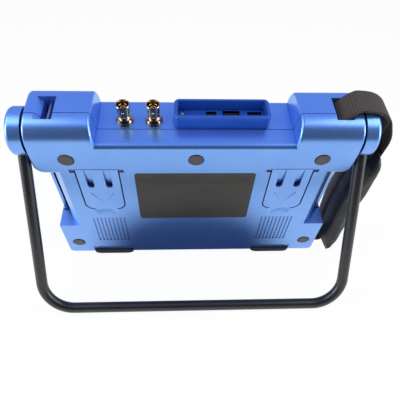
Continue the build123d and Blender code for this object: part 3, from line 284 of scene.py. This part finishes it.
# Foot pads: two nearly black rubber pads bonded under the back's lower edge, on whose round noses
# the case stands. They taper to the edge at both ends.
pad_black = grained("navy_elastomer", rubber_look, "10141f", "171c2a", 0.8, 0.55, 0.7, 0.01)
pad_inner = 60.0
pad_outer = 99.0
pad_nose = 3.35
pad_centre = 0.5
pad_back_high = 1.8
pad_run = 9.0
pad_toe = 3.0
pad_set = 0.2
pad_top = 0.4
pad_taper = 7.0
pad_tip = 0.15
pad_steps = 28
nose_steps = 8
toe_steps = 6
pad_outline = [(pad_centre + pad_nose * cos(a), pad_centre + pad_nose * sin(a))
               for a in [pi + pi / 2 * k / nose_steps for k in range(nose_steps + 1)]]
pad_outline += [(pad_run - pad_toe + pad_toe * sin(a), -pad_toe * cos(a))
                for a in [pi / 2 * k / toe_steps for k in range(toe_steps + 1)]]
pad_outline += [(pad_run, pad_top), (pad_set, pad_top), (pad_set, pad_back_high),
                (-1.4, pad_back_high - 0.1), (-2.6, pad_back_high - 0.7)]
shape = bmesh.new()
for way in (-1, 1):
    rows = []
    for i in range(pad_steps + 1):
        side = pad_inner + (pad_outer - pad_inner) * i / pad_steps
        end = min(side - pad_inner, pad_outer - side) / pad_taper
        swell = pad_tip + (1 - pad_tip) * (1 - (1 - min(1, end)) ** 2) ** 0.5
        rows.append([shape.verts.new(place(way * side, h * swell if h < 0 else h, d * swell if d < 0 else d))
                     for d, h in pad_outline])
    for a, b in zip(rows, rows[1:]):
        for k in range(len(pad_outline)):
            n = (k + 1) % len(pad_outline)
            shape.faces.new((a[k], a[n], b[n], b[k])).smooth = True
    shape.faces.new(rows[0])
    shape.faces.new(rows[-1][::-1])
bmesh.ops.recalc_face_normals(shape, faces=shape.faces)
pad_mesh = bpy.data.meshes.new("foot_pads")
shape.to_mesh(pad_mesh)
shape.free()
pad_mesh.set_sharp_from_angle(angle=radians(40))
pads = new_object("foot_pads", pad_mesh, pad_black)
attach(pads, "case")
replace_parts(pads, "bottom_pads")

# Rating plate: a bare aluminium plate in a dark anodised finish, blasted to a fine even grain
# before it was dyed, and bonded into a shallow seat.
dark_anodised = grained("dark_anodised_aluminium", {"Metallic": 0.35, "Coat Weight": 0.1},
                        "35332f", "3f3d39", 0.5, 0.42, 0.55, 0.01)
dress(dark_anodised, "label_plate")

# Bail: a steel tube bent to a wide bracket, whose ends sit in the two knuckles. Its black powder
# coat is satin, with a fine orange peel.
black_coat = grained("black_powder_coat", {"IOR": 1.5, "Coat Weight": 0.35, "Coat Roughness": 0.22},
                     "17181a", "1f2022", 0.9, 0.3, 0.4, 0.012)
dress(black_coat, "handle_tube")

# Coaxial sockets: turned brass, nickel plated outside with a bayonet lug at each side, a slotted
# gold-plated spring sleeve and pin inside, held by a round nut over a washer. Plating is smooth and
# mirrors the tent.
# In the nickel, gold and PTFE, the crevice shade colour is a painted shade of dark brown in gaps and bores.
nickel = grained("nickel_plate", {"Metallic": 1.0}, "bba286", "d0b896", 1.5, 0.1, 0.18, 0.002,
                 painted_crevice_shade="2a1c12")
gold = grained("gold_plate", {"Metallic": 1.0}, "d8a24a", "e6b864", 1.5, 0.14, 0.22, 0.002, painted_crevice_shade="2c1a08")
tan_ptfe = grained("moulded_ptfe", {"IOR": 1.38}, "b59c7a", "c2aa88", 1.0, 0.4, 0.5, 0.01, painted_crevice_shade="2a1f14")
dress(nickel, "bnc_washers", "usb_a_socket", "mini_usb_socket", "data_socket", "board_spacers")
socket_sides = (-53.4, -31.5)
socket_deep = 27.4
deck_high = 155.0
socket_high = 171.0
body_turning = [(0, deck_high - 1), (4.55, deck_high - 1), (4.55, 157.6)]
for turn in range(7):
    body_turning += [(4.72, 157.8 + turn * 0.4), (4.45, 158.0 + turn * 0.4)]
body_turning += [(4.2, 160.9), (4.2, 163.3), (4.8, 163.8), (4.8, 168.9), (5.25, 169.3), (5.3, 170.6),
                 (5.0, socket_high), (4.5, socket_high), (4.1, 170.3), (4.1, 162.2), (0, 162.2)]
nut_turning = [(4.8, 155.8), (6.3, 155.8), (6.4, 156.0), (6.4, 156.9), (5.7, 157.9), (4.8, 157.9)]
sleeve_turning = [(2.95, 162.2), (3.35, 162.2), (3.35, 168.3), (3.2, 168.6), (2.95, 168.4)]
insulator_turning = [(0, 162.2), (2.4, 162.2), (2.4, 167.2), (2.2, 167.5), (1.3, 167.5), (1.2, 166.9),
                     (0, 166.9)]
pin_turning = [(0, 162.4), (1.05, 162.4), (1.05, 168.0), (0.85, 168.4), (0.5, 168.4), (0.5, 165.0),
               (0, 165.0)]
turning_steps = 48
slot_half_angle = pi / 18
lug_high = 166.2
lug_turning = [(1.0, 4.5), (1.0, 5.3), (0.8, 5.55), (0.4, 5.65)]
lug_steps = 16


def turned_piece(name, turning, material, ring=False, slots=0, lugs=False):
    """One mesh of both sockets' like parts, each turned from an outline of radius and height."""
    shape = bmesh.new()
    arcs = [(2 * pi * k / slots + slot_half_angle, 2 * pi * (k + 1) / slots - slot_half_angle)
            for k in range(slots)] or [(0, 2 * pi)]
    for side in socket_sides:
        for start, end in arcs:
            count = max(4, int(turning_steps * (end - start) / (2 * pi)))
            rows = []
            for i in range(count if not slots else count + 1):
                angle = start + (end - start) * i / count
                rows.append([shape.verts.new(place(side + radius * cos(angle), high,
                                                   socket_deep + radius * sin(angle)))
                             for radius, high in turning])
            for i in range(count):
                near, far = rows[i], rows[(i + 1) % len(rows)]
                for j in range(len(turning) if ring else len(turning) - 1):
                    k = (j + 1) % len(turning)
                    shape.faces.new((near[j], near[k], far[k], far[j])).smooth = True
            if slots:
                shape.faces.new(rows[0])
                shape.faces.new(rows[-1][::-1])
        for way in (-1, 1) if lugs else ():
            rows = []
            for radius, out in lug_turning:
                angles = [2 * pi * k / lug_steps for k in range(lug_steps)]
                rows.append([shape.verts.new(place(side + radius * cos(a), lug_high + radius * sin(a),
                                                   socket_deep + way * out)) for a in angles])
            for near, far in zip(rows, rows[1:]):
                for k in range(lug_steps):
                    n = (k + 1) % lug_steps
                    shape.faces.new((near[k], near[n], far[n], far[k])).smooth = True
            shape.faces.new(rows[0][::-1])
            shape.faces.new(rows[-1])
    bmesh.ops.remove_doubles(shape, verts=shape.verts, dist=1e-6)
    bmesh.ops.dissolve_degenerate(shape, edges=shape.edges, dist=1e-7)
    bmesh.ops.recalc_face_normals(shape, faces=shape.faces)
    mesh = bpy.data.meshes.new(name)
    shape.to_mesh(mesh)
    shape.free()
    mesh.set_sharp_from_angle(angle=radians(32))
    piece = new_object(name, mesh, material)
    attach(piece, "case")
    return piece


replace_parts(turned_piece("coax_bodies", body_turning, nickel, lugs=True), "bnc_shells")
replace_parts(turned_piece("coax_nuts", nut_turning, nickel, ring=True), "bnc_nuts")
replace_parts(turned_piece("coax_insulators", insulator_turning, tan_ptfe), "bnc_insulators")
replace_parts(turned_piece("coax_pins", pin_turning, gold), "bnc_contacts")
turned_piece("coax_sleeves", sleeve_turning, gold, ring=True, slots=4)

# Small pieces that the case mostly hides: pressed, turned and moulded ones, boards, battery, lamp
# and display. Each has the colour, gloss and grain of its own stuff.
steel = grained("zinc_plated_steel", {"Metallic": 1.0}, "9a9ca0", "b4b6ba", 0.8, 0.28, 0.42, 0.006)
dress(steel, "lcd_bracket", "board_screws", "case_screws", "foot_pins", "pivot_bolts", "strap_pins",
      "port_board_screws")
dress(grained("tinned_steel", {"Metallic": 1.0}, "b4b5b2", "c6c7c4", 2.5, 0.22, 0.34, 0.004),
      "pulser_shield")
dress(grained("plain_brass", {"Metallic": 1.0}, "b08d4a", "c29f5a", 1.2, 0.28, 0.4, 0.005), "pivot_bushes")
dress(grained("nylon_washer", {"IOR": 1.53}, "c9c7bf", "d6d4cc", 0.9, 0.45, 0.6, 0.01), "friction_washers")
dress(grained("black_abs", {"IOR": 1.53}, "121315", "1b1c1e", 0.9, 0.4, 0.55, 0.015),
      "buzzer", "battery_tray", "mini_usb_tongue", "data_tongue", "usb_a_tongue")
dress(grained("solder_mask", {"IOR": 1.5, "Coat Weight": 0.4}, "0f4a2a", "1a6138", 1.6, 0.25, 0.4, 0.03),
      "main_board", "port_board")
dress(grained("shrink_film", {"IOR": 1.5, "Coat Weight": 0.3}, "1d3a7a", "26468c", 6.0, 0.2, 0.35, 0.05),
      "battery_pack")
dress(grained("lamp_lens", {"IOR": 1.49, "Transmission Weight": 0.5}, "c8d6cc", "dbe6de", 1.0, 0.15, 0.25,
              0.004), "charge_lamp")
dress(grained("display_glass", {"IOR": 1.52, "Coat Weight": 1.0, "Coat Roughness": 0.03}, "0b0e12", "11151b",
              3.0, 0.08, 0.14, 0.001), "lcd_panel")

# Keypads: one sheet of black silicone each, laid in a shallow seat of the front face. Their key
# tops are moulded in a second, lighter shot.
key_top = 0.45


def spans(name):
    """A node's least and greatest side, height and depth, in millimetres of the case."""
    points = [v.co - corner for v in frame["nodes"][name].data.vertices]
    return [(min(p.dot(axis) for p in points) / mm, max(p.dot(axis) for p in points) / mm)
            for axis in (across, upward, inward)]


def axis_reading(tree, axis):
    """The surface's place along one of the case's axes, in metres from its corner."""
    spot = add_node(tree, "ShaderNodeTexCoord")
    from_corner = add_node(tree, "ShaderNodeVectorMath", {0: spot.outputs["Object"], 1: corner},
                           operation="SUBTRACT")
    along = add_node(tree, "ShaderNodeVectorMath", {0: from_corner.outputs[0], 1: axis},
                     operation="DOT_PRODUCT")
    return along.outputs["Value"]


for name in ("keypad_right", "keypad_left"):
    keys = grained("silicone_of_" + name, rubber_look, "1c1e21", "24272b", 0.7, 0.5, 0.65, 0.01)
    tree = keys.node_tree
    deep = axis_reading(tree, inward)
    proud = add_node(tree, "ShaderNodeMath", {0: deep, 1: (spans(name)[2][1] - key_top) * mm},
                     operation="GREATER_THAN")
    shader = tree.nodes["Principled BSDF"]
    sheet_colour = shader.inputs["Base Color"].links[0].from_socket
    colour = add_node(tree, "ShaderNodeMix", {"Factor": proud.outputs[0], 6: sheet_colour,
                                              7: linear("59616b")}, data_type="RGBA")
    tree.links.new(colour.outputs[2], shader.inputs["Base Color"])
    dress(keys, name)

# Window: a clear acrylic pane laid in a shallow seat of the front face, over the display, with a
# black border printed round the screen.
window = grained("acrylic_window", {"IOR": 1.49}, "c4cbd2", "d0d6dc", 3.0, 0.03, 0.06, 0.001)
tree = window.node_tree
shader = tree.nodes["Principled BSDF"]
clear_colour = shader.inputs["Base Color"].links[0].from_socket
panel = spans("lcd_panel")
border = 7.0
clearness = 0.9
inside = []
for axis, (low, high) in zip((across, upward), panel):
    along = axis_reading(tree, axis)
    off = add_node(tree, "ShaderNodeMath", {0: along, 1: (low + high) / 2 * mm}, operation="SUBTRACT")
    far = add_node(tree, "ShaderNodeMath", {0: off.outputs[0]}, operation="ABSOLUTE")
    inside.append(add_node(tree, "ShaderNodeMath", {0: far.outputs[0], 1: ((high - low) / 2 - border) * mm},
                           operation="LESS_THAN"))
open_part = add_node(tree, "ShaderNodeMath", {0: inside[0].outputs[0], 1: inside[1].outputs[0]},
                     operation="MULTIPLY")
colour = add_node(tree, "ShaderNodeMix", {"Factor": open_part.outputs[0], 6: linear("08090b"),
                                          7: clear_colour}, data_type="RGBA")
through = add_node(tree, "ShaderNodeMath", {0: open_part.outputs[0], 1: clearness}, operation="MULTIPLY")
tree.links.new(colour.outputs[2], shader.inputs["Base Color"])
tree.links.new(through.outputs[0], shader.inputs["Transmission Weight"])
dress(window, "display_window")

# Webbing: two bands of matt black nylon, woven with ribs across, each looped on a steel pin in its
# slot and folded back on itself. The upper one drifts forward past the slot, clear of the bail's
# leg. Such webbing has its ribs about 1.2 mm apart, and here they are 2.1 mm apart so that they show.
webbing_rear = 12.8
webbing_width = 22.0
webbing_skew = 2.2
skew_start = 111.5
skew_run = 10.0
webbing_thick = 1.2
pin_side = 106.2
pin_loop = 2.1
fold_gap = 8.3
fold_start = 43.0
fold_run = 18.0
fold_close = 2.2
close_start = 64.0
close_run = 16.0
upper_loop_run = 10.0
lower_loop_run = 8.0


def rounded_route(points, radii, step=1.0):
    """A run of plane points with its corners rounded, as points a step or less apart."""
    corners = [Vector(p) for p in points]
    run = [corners[0]]
    for before, here, after, radius in zip(corners, corners[1:], corners[2:], radii):
        into = (here - before).normalized()
        out = (after - here).normalized()
        turn = into.angle(out)
        reach = radius * abs((1 - cos(turn)) / sin(turn))
        start = here - into * reach
        side = Vector((-into.y, into.x))
        if side.dot(out) < 0:
            side = -side
        centre = start + side * radius
        count = max(2, int(radius * turn / step))
        run.append(start)
        for i in range(1, count + 1):
            angle = turn * i / count
            run.append(centre + into * (radius * sin(angle)) - side * (radius * cos(angle)))
    run.append(corners[-1])
    dense = [run[0]]
    for here in run[1:]:
        gap = here - dense[-1]
        for i in range(int(gap.length / (2 * step))):
            dense.append(dense[-1] + gap.normalized() * 2 * step)
        if (here - dense[-1]).length > 1e-6:
            dense.append(here)
    return dense


def looped_back(route, spread):
    """The line of a band that comes along a route, turns round its first point and goes back."""
    away = (route[1] - route[0]).normalized()
    normals = []
    for i in range(len(route)):
        way = route[min(i + 1, len(route) - 1)] - route[max(i - 1, 0)]
        normals.append(Vector((-way.y, way.x)).normalized())
    lengths = [0]
    for a, b in zip(route, route[1:]):
        lengths.append(lengths[-1] + (b - a).length)
    over = [p + n * spread(s, 1) for p, n, s in zip(route, normals, lengths)]
    under = [p - n * spread(s, -1) for p, n, s in zip(route, normals, lengths)]
    side = Vector((-away.y, away.x))
    turns = 14
    bend = []
    for i in range(1, turns):
        angle = pi * i / turns
        bend.append(route[0] + side * (pin_loop * cos(angle)) - away * (pin_loop * sin(angle)))
    return over[::-1] + bend + under


def skin(name, rings):
    """A closed mesh through rings of points, with a UV map in millimetres round and along it."""
    shape = bmesh.new()
    layer = shape.loops.layers.uv.new("along")
    rows = [[shape.verts.new(point) for point in ring] for ring in rings]
    count = len(rings[0])
    centres = [sum(ring, Vector()) / count for ring in rings]
    along = [0]
    for a, b in zip(centres, centres[1:]):
        along.append(along[-1] + (b - a).length / mm)
    middle = rings[len(rings) // 2]
    around = [0]
    for j in range(count):
        around.append(around[-1] + (middle[(j + 1) % count] - middle[j]).length / mm)
    for i in range(len(rows) - 1):
        for j in range(count):
            k = (j + 1) % count
            face = shape.faces.new((rows[i][j], rows[i][k], rows[i + 1][k], rows[i + 1][j]))
            face.smooth = True
            for loop, u, v in zip(face.loops, (j, j + 1, j + 1, j), (i, i, i + 1, i + 1)):
                loop[layer].uv = (around[u], along[v])
    shape.faces.new(rows[0][::-1])
    shape.faces.new(rows[-1])
    bmesh.ops.recalc_face_normals(shape, faces=shape.faces)
    mesh = bpy.data.meshes.new(name)
    shape.to_mesh(mesh)
    shape.free()
    return mesh


def band_rings(line, width, thick, rears):
    """Rings of a flat band with round selvedges that follows a line of side and height, its rear
    edge at a depth of its own at each point."""
    half = thick / 2
    flat = width / 2 - half
    edge_steps = 4
    flat_steps = 6
    section = []
    for way, turn in ((1, 0), (-1, pi)):
        for i in range(edge_steps + 1):
            angle = -pi / 2 + pi * i / edge_steps + turn
            section.append((flat * way + half * cos(angle), half * sin(angle)))
        for i in range(1, flat_steps):
            section.append((flat * (1 - 2 * i / flat_steps) * way, half * way))
    rings = []
    for i in range(len(line)):
        way = line[min(i + 1, len(line) - 1)] - line[max(i - 1, 0)]
        normal = Vector((-way.y, way.x)).normalized()
        ring = []
        for wide, high in section:
            point = line[i] + normal * high
            ring.append(place(point.x, point.y, rears[i] + width / 2 + wide))
        rings.append(ring)
    return rings


webbing, tree, shader = material_of("nylon_webbing", {"IOR": 1.53, "Roughness": 0.8, "Sheen Weight": 0.25,
                                                      "Sheen Roughness": 0.4,
                                                      "Sheen Tint": linear("b8a9a4")})
rib_pitch = 2.1
warp_pitch = 0.7
weave_depth = 0.4
spot = add_node(tree, "ShaderNodeUVMap", uv_map="along")
parts = add_node(tree, "ShaderNodeSeparateXYZ", {0: spot.outputs[0]})
rib_angle = add_node(tree, "ShaderNodeMath", {0: parts.outputs["Y"], 1: 2 * pi / rib_pitch},
                     operation="MULTIPLY")
rib = add_node(tree, "ShaderNodeMath", {0: rib_angle.outputs[0]}, operation="SINE")
warp_angle = add_node(tree, "ShaderNodeMath", {0: parts.outputs["X"], 1: 2 * pi / warp_pitch},
                      operation="MULTIPLY")
warp = add_node(tree, "ShaderNodeMath", {0: warp_angle.outputs[0]}, operation="SINE")
# The colour follows the weave: rib crests get a painted highlight of brown-grey and the grooves a painted shade of
# near black, with a random fuzz of tone over both.
weave = add_node(tree, "ShaderNodeMath", {0: rib.outputs[0], 1: warp.outputs[0]}, operation="ADD")
fuzz = add_node(tree, "ShaderNodeTexNoise", {"Vector": spot.outputs[0], "Scale": 1.4, "Detail": 4.0})
fuzz_and_rib_highlight = add_node(tree, "ShaderNodeMath", {0: fuzz.outputs[0], 1: weave.outputs[0]}, operation="ADD")
tone = add_node(tree, "ShaderNodeMapRange", {"Value": fuzz_and_rib_highlight.outputs[0], "From Min": -1.4, "From Max": 2.2})
colour = add_node(tree, "ShaderNodeMix", {"Factor": tone.outputs[0], 6: linear("070606"),
                                          7: linear("5a4e48")}, data_type="RGBA")
relief = add_node(tree, "ShaderNodeBump", {"Height": weave.outputs[0], "Strength": 0.9,
                                           "Distance": weave_depth * mm})
tree.links.new(colour.outputs[2], shader.inputs["Base Color"])
tree.links.new(relief.outputs[0], shader.inputs["Normal"])

upper_route = rounded_route([(pin_side, 165), (113.4, 176.6), (139.9, 174.1), (151.7, 147), (150.6, 127)],
                            [9, 23, 34])
lower_route = rounded_route([(pin_side, 5.2), (109.6, -4.4), (137.4, -4.4), (137.4, 1)], [2.4, 2.4])


def eased(share):
    """A share from 0 to 1, held between them and eased at both ends."""
    share = min(1, max(0, share))
    return share * share * (3 - 2 * share)


def loop_spread(length, run):
    """Half the gap between a band's two layers at a length from its pin, closing over a run."""
    return webbing_thick / 2 + 0.05 + (pin_loop - webbing_thick / 2) * max(0, 1 - length / run) ** 2


def upper_spread(length, side):
    """Half the gap of the upper band, whose inner layer also hangs away before it enters the grip."""
    apart = 0
    if side < 0:
        opened = fold_gap * eased((length - fold_start) / fold_run)
        apart = opened - fold_close * eased((length - close_start) / close_run)
    return loop_spread(length, upper_loop_run) + apart


def lower_spread(length, side):
    """Half the gap of the lower band, the same on both sides."""
    return loop_spread(length, lower_loop_run)


for name, route, spread, skew in (("webbing_top", upper_route, upper_spread, webbing_skew),
                                  ("webbing_foot", lower_route, lower_spread, 0)):
    line = looped_back(route, spread)
    rears = [webbing_rear + skew * eased((p.x - skew_start) / skew_run) for p in line]
    strap = new_object(name, skin(name, band_rings(line, webbing_width, webbing_thick, rears)), webbing)
    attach(strap, "case")
    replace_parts(strap, "strap_webbing_upper" if name == "webbing_top" else "strap_webbing_lower")

# Grip: a sleeve of black grained leatherette over foam. On the real strap the webbing runs through
# it, and here the two bands end at it. It is blown up from a slimmer shape as a closed cloth, so that
# the foam crowns its faces and creases its edges.
grip_sections = ((132.0, 7.4, 20.5, 6.0, 44.5), (118.0, 4.0, 19.5, 0.5, 49.5), (85.0, 1.2, 19.4, -1.5, 51.0),
                 (50.0, 0.4, 15.6, -3.5, 50.0), (20.0, 0.4, 12.6, -7.5, 47.0), (-2.0, 0.6, 7.6, -8.0, 42.0))
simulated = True
grip_inset = 1.6 if simulated else 1.0
swell_cap = 3.2
voxel = 2.4
cloth_frames = 20
ease_share = 0.4


def grip_at(high):
    """Near and far side and rear and front edge of the grip at a height, eased between sections."""
    for lower, upper in zip(grip_sections[1:], grip_sections):
        if lower[0] <= high <= upper[0]:
            t = (high - lower[0]) / (upper[0] - lower[0])
            t = ease_share * eased(t) + (1 - ease_share) * t
            return [a + (b - a) * t for a, b in zip(lower[1:], upper[1:])]
    return list(grip_sections[0][1:] if high > grip_sections[0][0] else grip_sections[-1][1:])


pebble_mm = 1.3
pebble_depth = 0.2
fold_shade_mm = 18.0
leatherette, tree, shader = material_of("black_leatherette", {"IOR": 1.5, "Sheen Weight": 0.12,
                                                              "Sheen Roughness": 0.35, "Coat Weight": 0.06})
spot = add_node(tree, "ShaderNodeTexCoord").outputs["Object"]
pebble = add_node(tree, "ShaderNodeTexVoronoi", {"Vector": spot, "Scale": 1 / (pebble_mm * mm)},
                  feature="SMOOTH_F1")
# Broad patches a little lighter and darker: a painted sheen and shade of soft folds.
fold_shade_noise = add_node(tree, "ShaderNodeTexNoise", {"Vector": spot, "Scale": 1 / (fold_shade_mm * mm), "Detail": 3.0})
tone = add_node(tree, "ShaderNodeMix", {"Factor": fold_shade_noise.outputs[0], 6: linear("0b0b0c"),
                                        7: linear("151414")}, data_type="RGBA")
rough = add_node(tree, "ShaderNodeMapRange", {"Value": pebble.outputs[0], "From Max": 0.6, "To Min": 0.42,
                                              "To Max": 0.6})
relief = add_node(tree, "ShaderNodeBump", {"Height": pebble.outputs[0], "Strength": 0.35,
                                           "Distance": pebble_depth * mm})
tree.links.new(tone.outputs[2], shader.inputs["Base Color"])
tree.links.new(rough.outputs[0], shader.inputs["Roughness"])
tree.links.new(relief.outputs[0], shader.inputs["Normal"])

rings = []
grip_steps = 54
grip_round = 28
side_blunt = 0.72
deep_blunt = 0.6
tip_share = 0.35
tip_steps = 5
tip_draw = 5.0
for i in range(grip_steps + 1):
    high = grip_sections[-1][0] + (grip_sections[0][0] - grip_sections[-1][0]) * i / grip_steps
    near, far, rear, front = grip_at(high)
    ends = min(1.0, tip_share + min(i, grip_steps - i) / tip_steps)
    half_side = (far - near) / 2 * ends - grip_inset
    half_deep = (front - rear) / 2 - (1 - ends) * tip_draw - grip_inset
    middle = (knuckle_outer + (near + far) / 2, (rear + front) / 2)
    ring = []
    for k in range(grip_round):
        angle = 2 * pi * k / grip_round
        out = abs(cos(angle)) ** side_blunt * (1 if cos(angle) > 0 else -1)
        fore = abs(sin(angle)) ** deep_blunt * (1 if sin(angle) > 0 else -1)
        ring.append(place(middle[0] + half_side * out, high, middle[1] + half_deep * fore))
    rings.append(ring)
grip = new_object("grip_sleeve", skin("grip_sleeve", rings), leatherette)


def settled(piece):
    """The piece's mesh with its modifiers applied, in place of the one that it had."""
    mesh = bpy.data.meshes.new_from_object(piece.evaluated_get(bpy.context.evaluated_depsgraph_get()))
    piece.modifiers.clear()
    piece.data = mesh


if simulated:
    even = grip.modifiers.new("even", "REMESH")
    even.mode = "VOXEL"
    even.voxel_size = voxel * mm
    settled(grip)
    before = [v.co.copy() for v in grip.data.vertices]
    blown = grip.modifiers.new("blown", "CLOTH")
    blown.settings.use_pressure = True
    blown.settings.uniform_pressure_force = 4
    blown.settings.tension_stiffness = 12
    blown.settings.compression_stiffness = 12
    blown.settings.bending_stiffness = 0.4
    blown.settings.mass = 0.25
    blown.settings.effector_weights.gravity = 0
    for step in range(1, cloth_frames + 1):
        bpy.context.scene.frame_set(step)
    settled(grip)
    for v, start in zip(grip.data.vertices, before):
        moved = v.co - start
        v.co = start + moved * min(1, swell_cap * mm / max(moved.length, 1e-9))
    bpy.context.scene.frame_set(1)
    round_off = grip.modifiers.new("round_off", "SUBSURF")
    round_off.levels = round_off.render_levels = 1
    settled(grip)
for face in grip.data.polygons:
    face.use_smooth = True
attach(grip, "case")
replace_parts(grip, "hand_grip")

# Flap: the sleeve closes on its face towards the case, where its edge laps over itself and is sewn.
# It is brushed microfibre, the sleeve's lining turned out, and stands a little proud of the sleeve.
bpy.context.view_layer.update()
sleeve_form = BVHTree.FromObject(grip, bpy.context.evaluated_depsgraph_get())
flap_thick = 0.9
flap_points = 7
flap_steps = 40
flap_low = 8.0
flap_length = 112.0
flap_start = 0.50
flap_share = 0.36
flap_edge = 0.25
flap_rise = 1.5
flap_sunk = 0.5
thread_gap = 0.05
ray_back = 14.0


def sleeve_near(high, deep):
    """The point of the sleeve's near face at a height and a depth."""
    return sleeve_form.ray_cast(place(knuckle_outer - ray_back, high, deep), across)[0]


rings = []
flap_line = []
for i in range(flap_steps + 1):
    high = flap_low + flap_length * i / flap_steps
    near, far, rear, front = grip_at(high)
    wide = front - rear
    depths = [rear + wide * (flap_start + flap_share * k / (flap_points - 1)) for k in range(flap_points)]
    spots = [sleeve_near(high, deep) for deep in depths]
    if None in spots:
        continue
    lift = [flap_thick * min(1, flap_edge + k / flap_rise, flap_edge + (flap_points - 1 - k) / flap_rise)
            for k in range(flap_points)]
    rings.append([p - across * h * mm for p, h in zip(spots, lift)]
                 + [p + across * flap_sunk * mm for p in reversed(spots)])
    flap_line.append(spots[1] - across * (flap_thick + thread_gap) * mm)
lining = grained("brushed_microfibre", {"IOR": 1.5, "Sheen Weight": 0.4, "Sheen Roughness": 0.5},
                 "1a1411", "2a211c", 0.9, 0.7, 0.85, 0.03)
flap = new_object("grip_flap", skin("grip_flap", rings), lining)
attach(flap, "case")

# Stitching: thick black nylon thread, one lock stitch every few millimetres, along the edge of
# the flap.
thread = grained("nylon_thread", {"IOR": 1.53, "Sheen Weight": 0.3}, "2c2a29", "3a3735", 0.4, 0.5, 0.65,
                 0.01)


def sewn(name, line, pitch, stitch, thick):
    """Stitches along a line of points: it is resampled at the pitch, and a small round-ended stitch
    is set along it at every point."""
    mesh = bpy.data.meshes.new(name)
    mesh.from_pydata(line, [(i, i + 1) for i in range(len(line) - 1)], [])
    piece = bpy.data.objects.new(name, mesh)
    bpy.context.scene.collection.objects.link(piece)
    tree = bpy.data.node_groups.new(name, "GeometryNodeTree")
    tree.interface.new_socket("Geometry", in_out="INPUT", socket_type="NodeSocketGeometry")
    wanted = {"Pitch": pitch * mm, "Stitch": stitch * mm, "Thread": thick * mm}
    sockets = {key: tree.interface.new_socket(key, in_out="INPUT", socket_type="NodeSocketFloat")
               for key in wanted}
    tree.interface.new_socket("Geometry", in_out="OUTPUT", socket_type="NodeSocketGeometry")
    given = add_node(tree, "NodeGroupInput")
    run = add_node(tree, "GeometryNodeMeshToCurve", {"Mesh": given.outputs["Geometry"]})
    even = add_node(tree, "GeometryNodeResampleCurve", {"Curve": run.outputs[0],
                                                        "Length": given.outputs["Pitch"]}, mode="LENGTH")
    way = add_node(tree, "GeometryNodeInputTangent")
    turn = add_node(tree, "FunctionNodeAlignRotationToVector", {"Vector": way.outputs[0]}, axis="Z")
    bead = add_node(tree, "GeometryNodeMeshUVSphere", {"Segments": 8, "Rings": 6, "Radius": 0.5})
    size = add_node(tree, "ShaderNodeCombineXYZ", {"X": given.outputs["Thread"],
                                                   "Y": given.outputs["Thread"],
                                                   "Z": given.outputs["Stitch"]})
    set_on = add_node(tree, "GeometryNodeInstanceOnPoints", {"Points": even.outputs[0],
                                                             "Instance": bead.outputs[0],
                                                             "Rotation": turn.outputs[0],
                                                             "Scale": size.outputs[0]})
    real = add_node(tree, "GeometryNodeRealizeInstances", {"Geometry": set_on.outputs[0]})
    coloured = add_node(tree, "GeometryNodeSetMaterial", {"Geometry": real.outputs[0], "Material": thread})
    add_node(tree, "NodeGroupOutput", {"Geometry": coloured.outputs[0]})
    maker = piece.modifiers.new("stitches", "NODES")
    maker.node_group = tree
    for key, value in wanted.items():
        maker[sockets[key].identifier] = value
    settled(piece)
    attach(piece, "case")


sewn("flap_stitches", flap_line, pitch=3.2, stitch=2.3, thick=0.7)
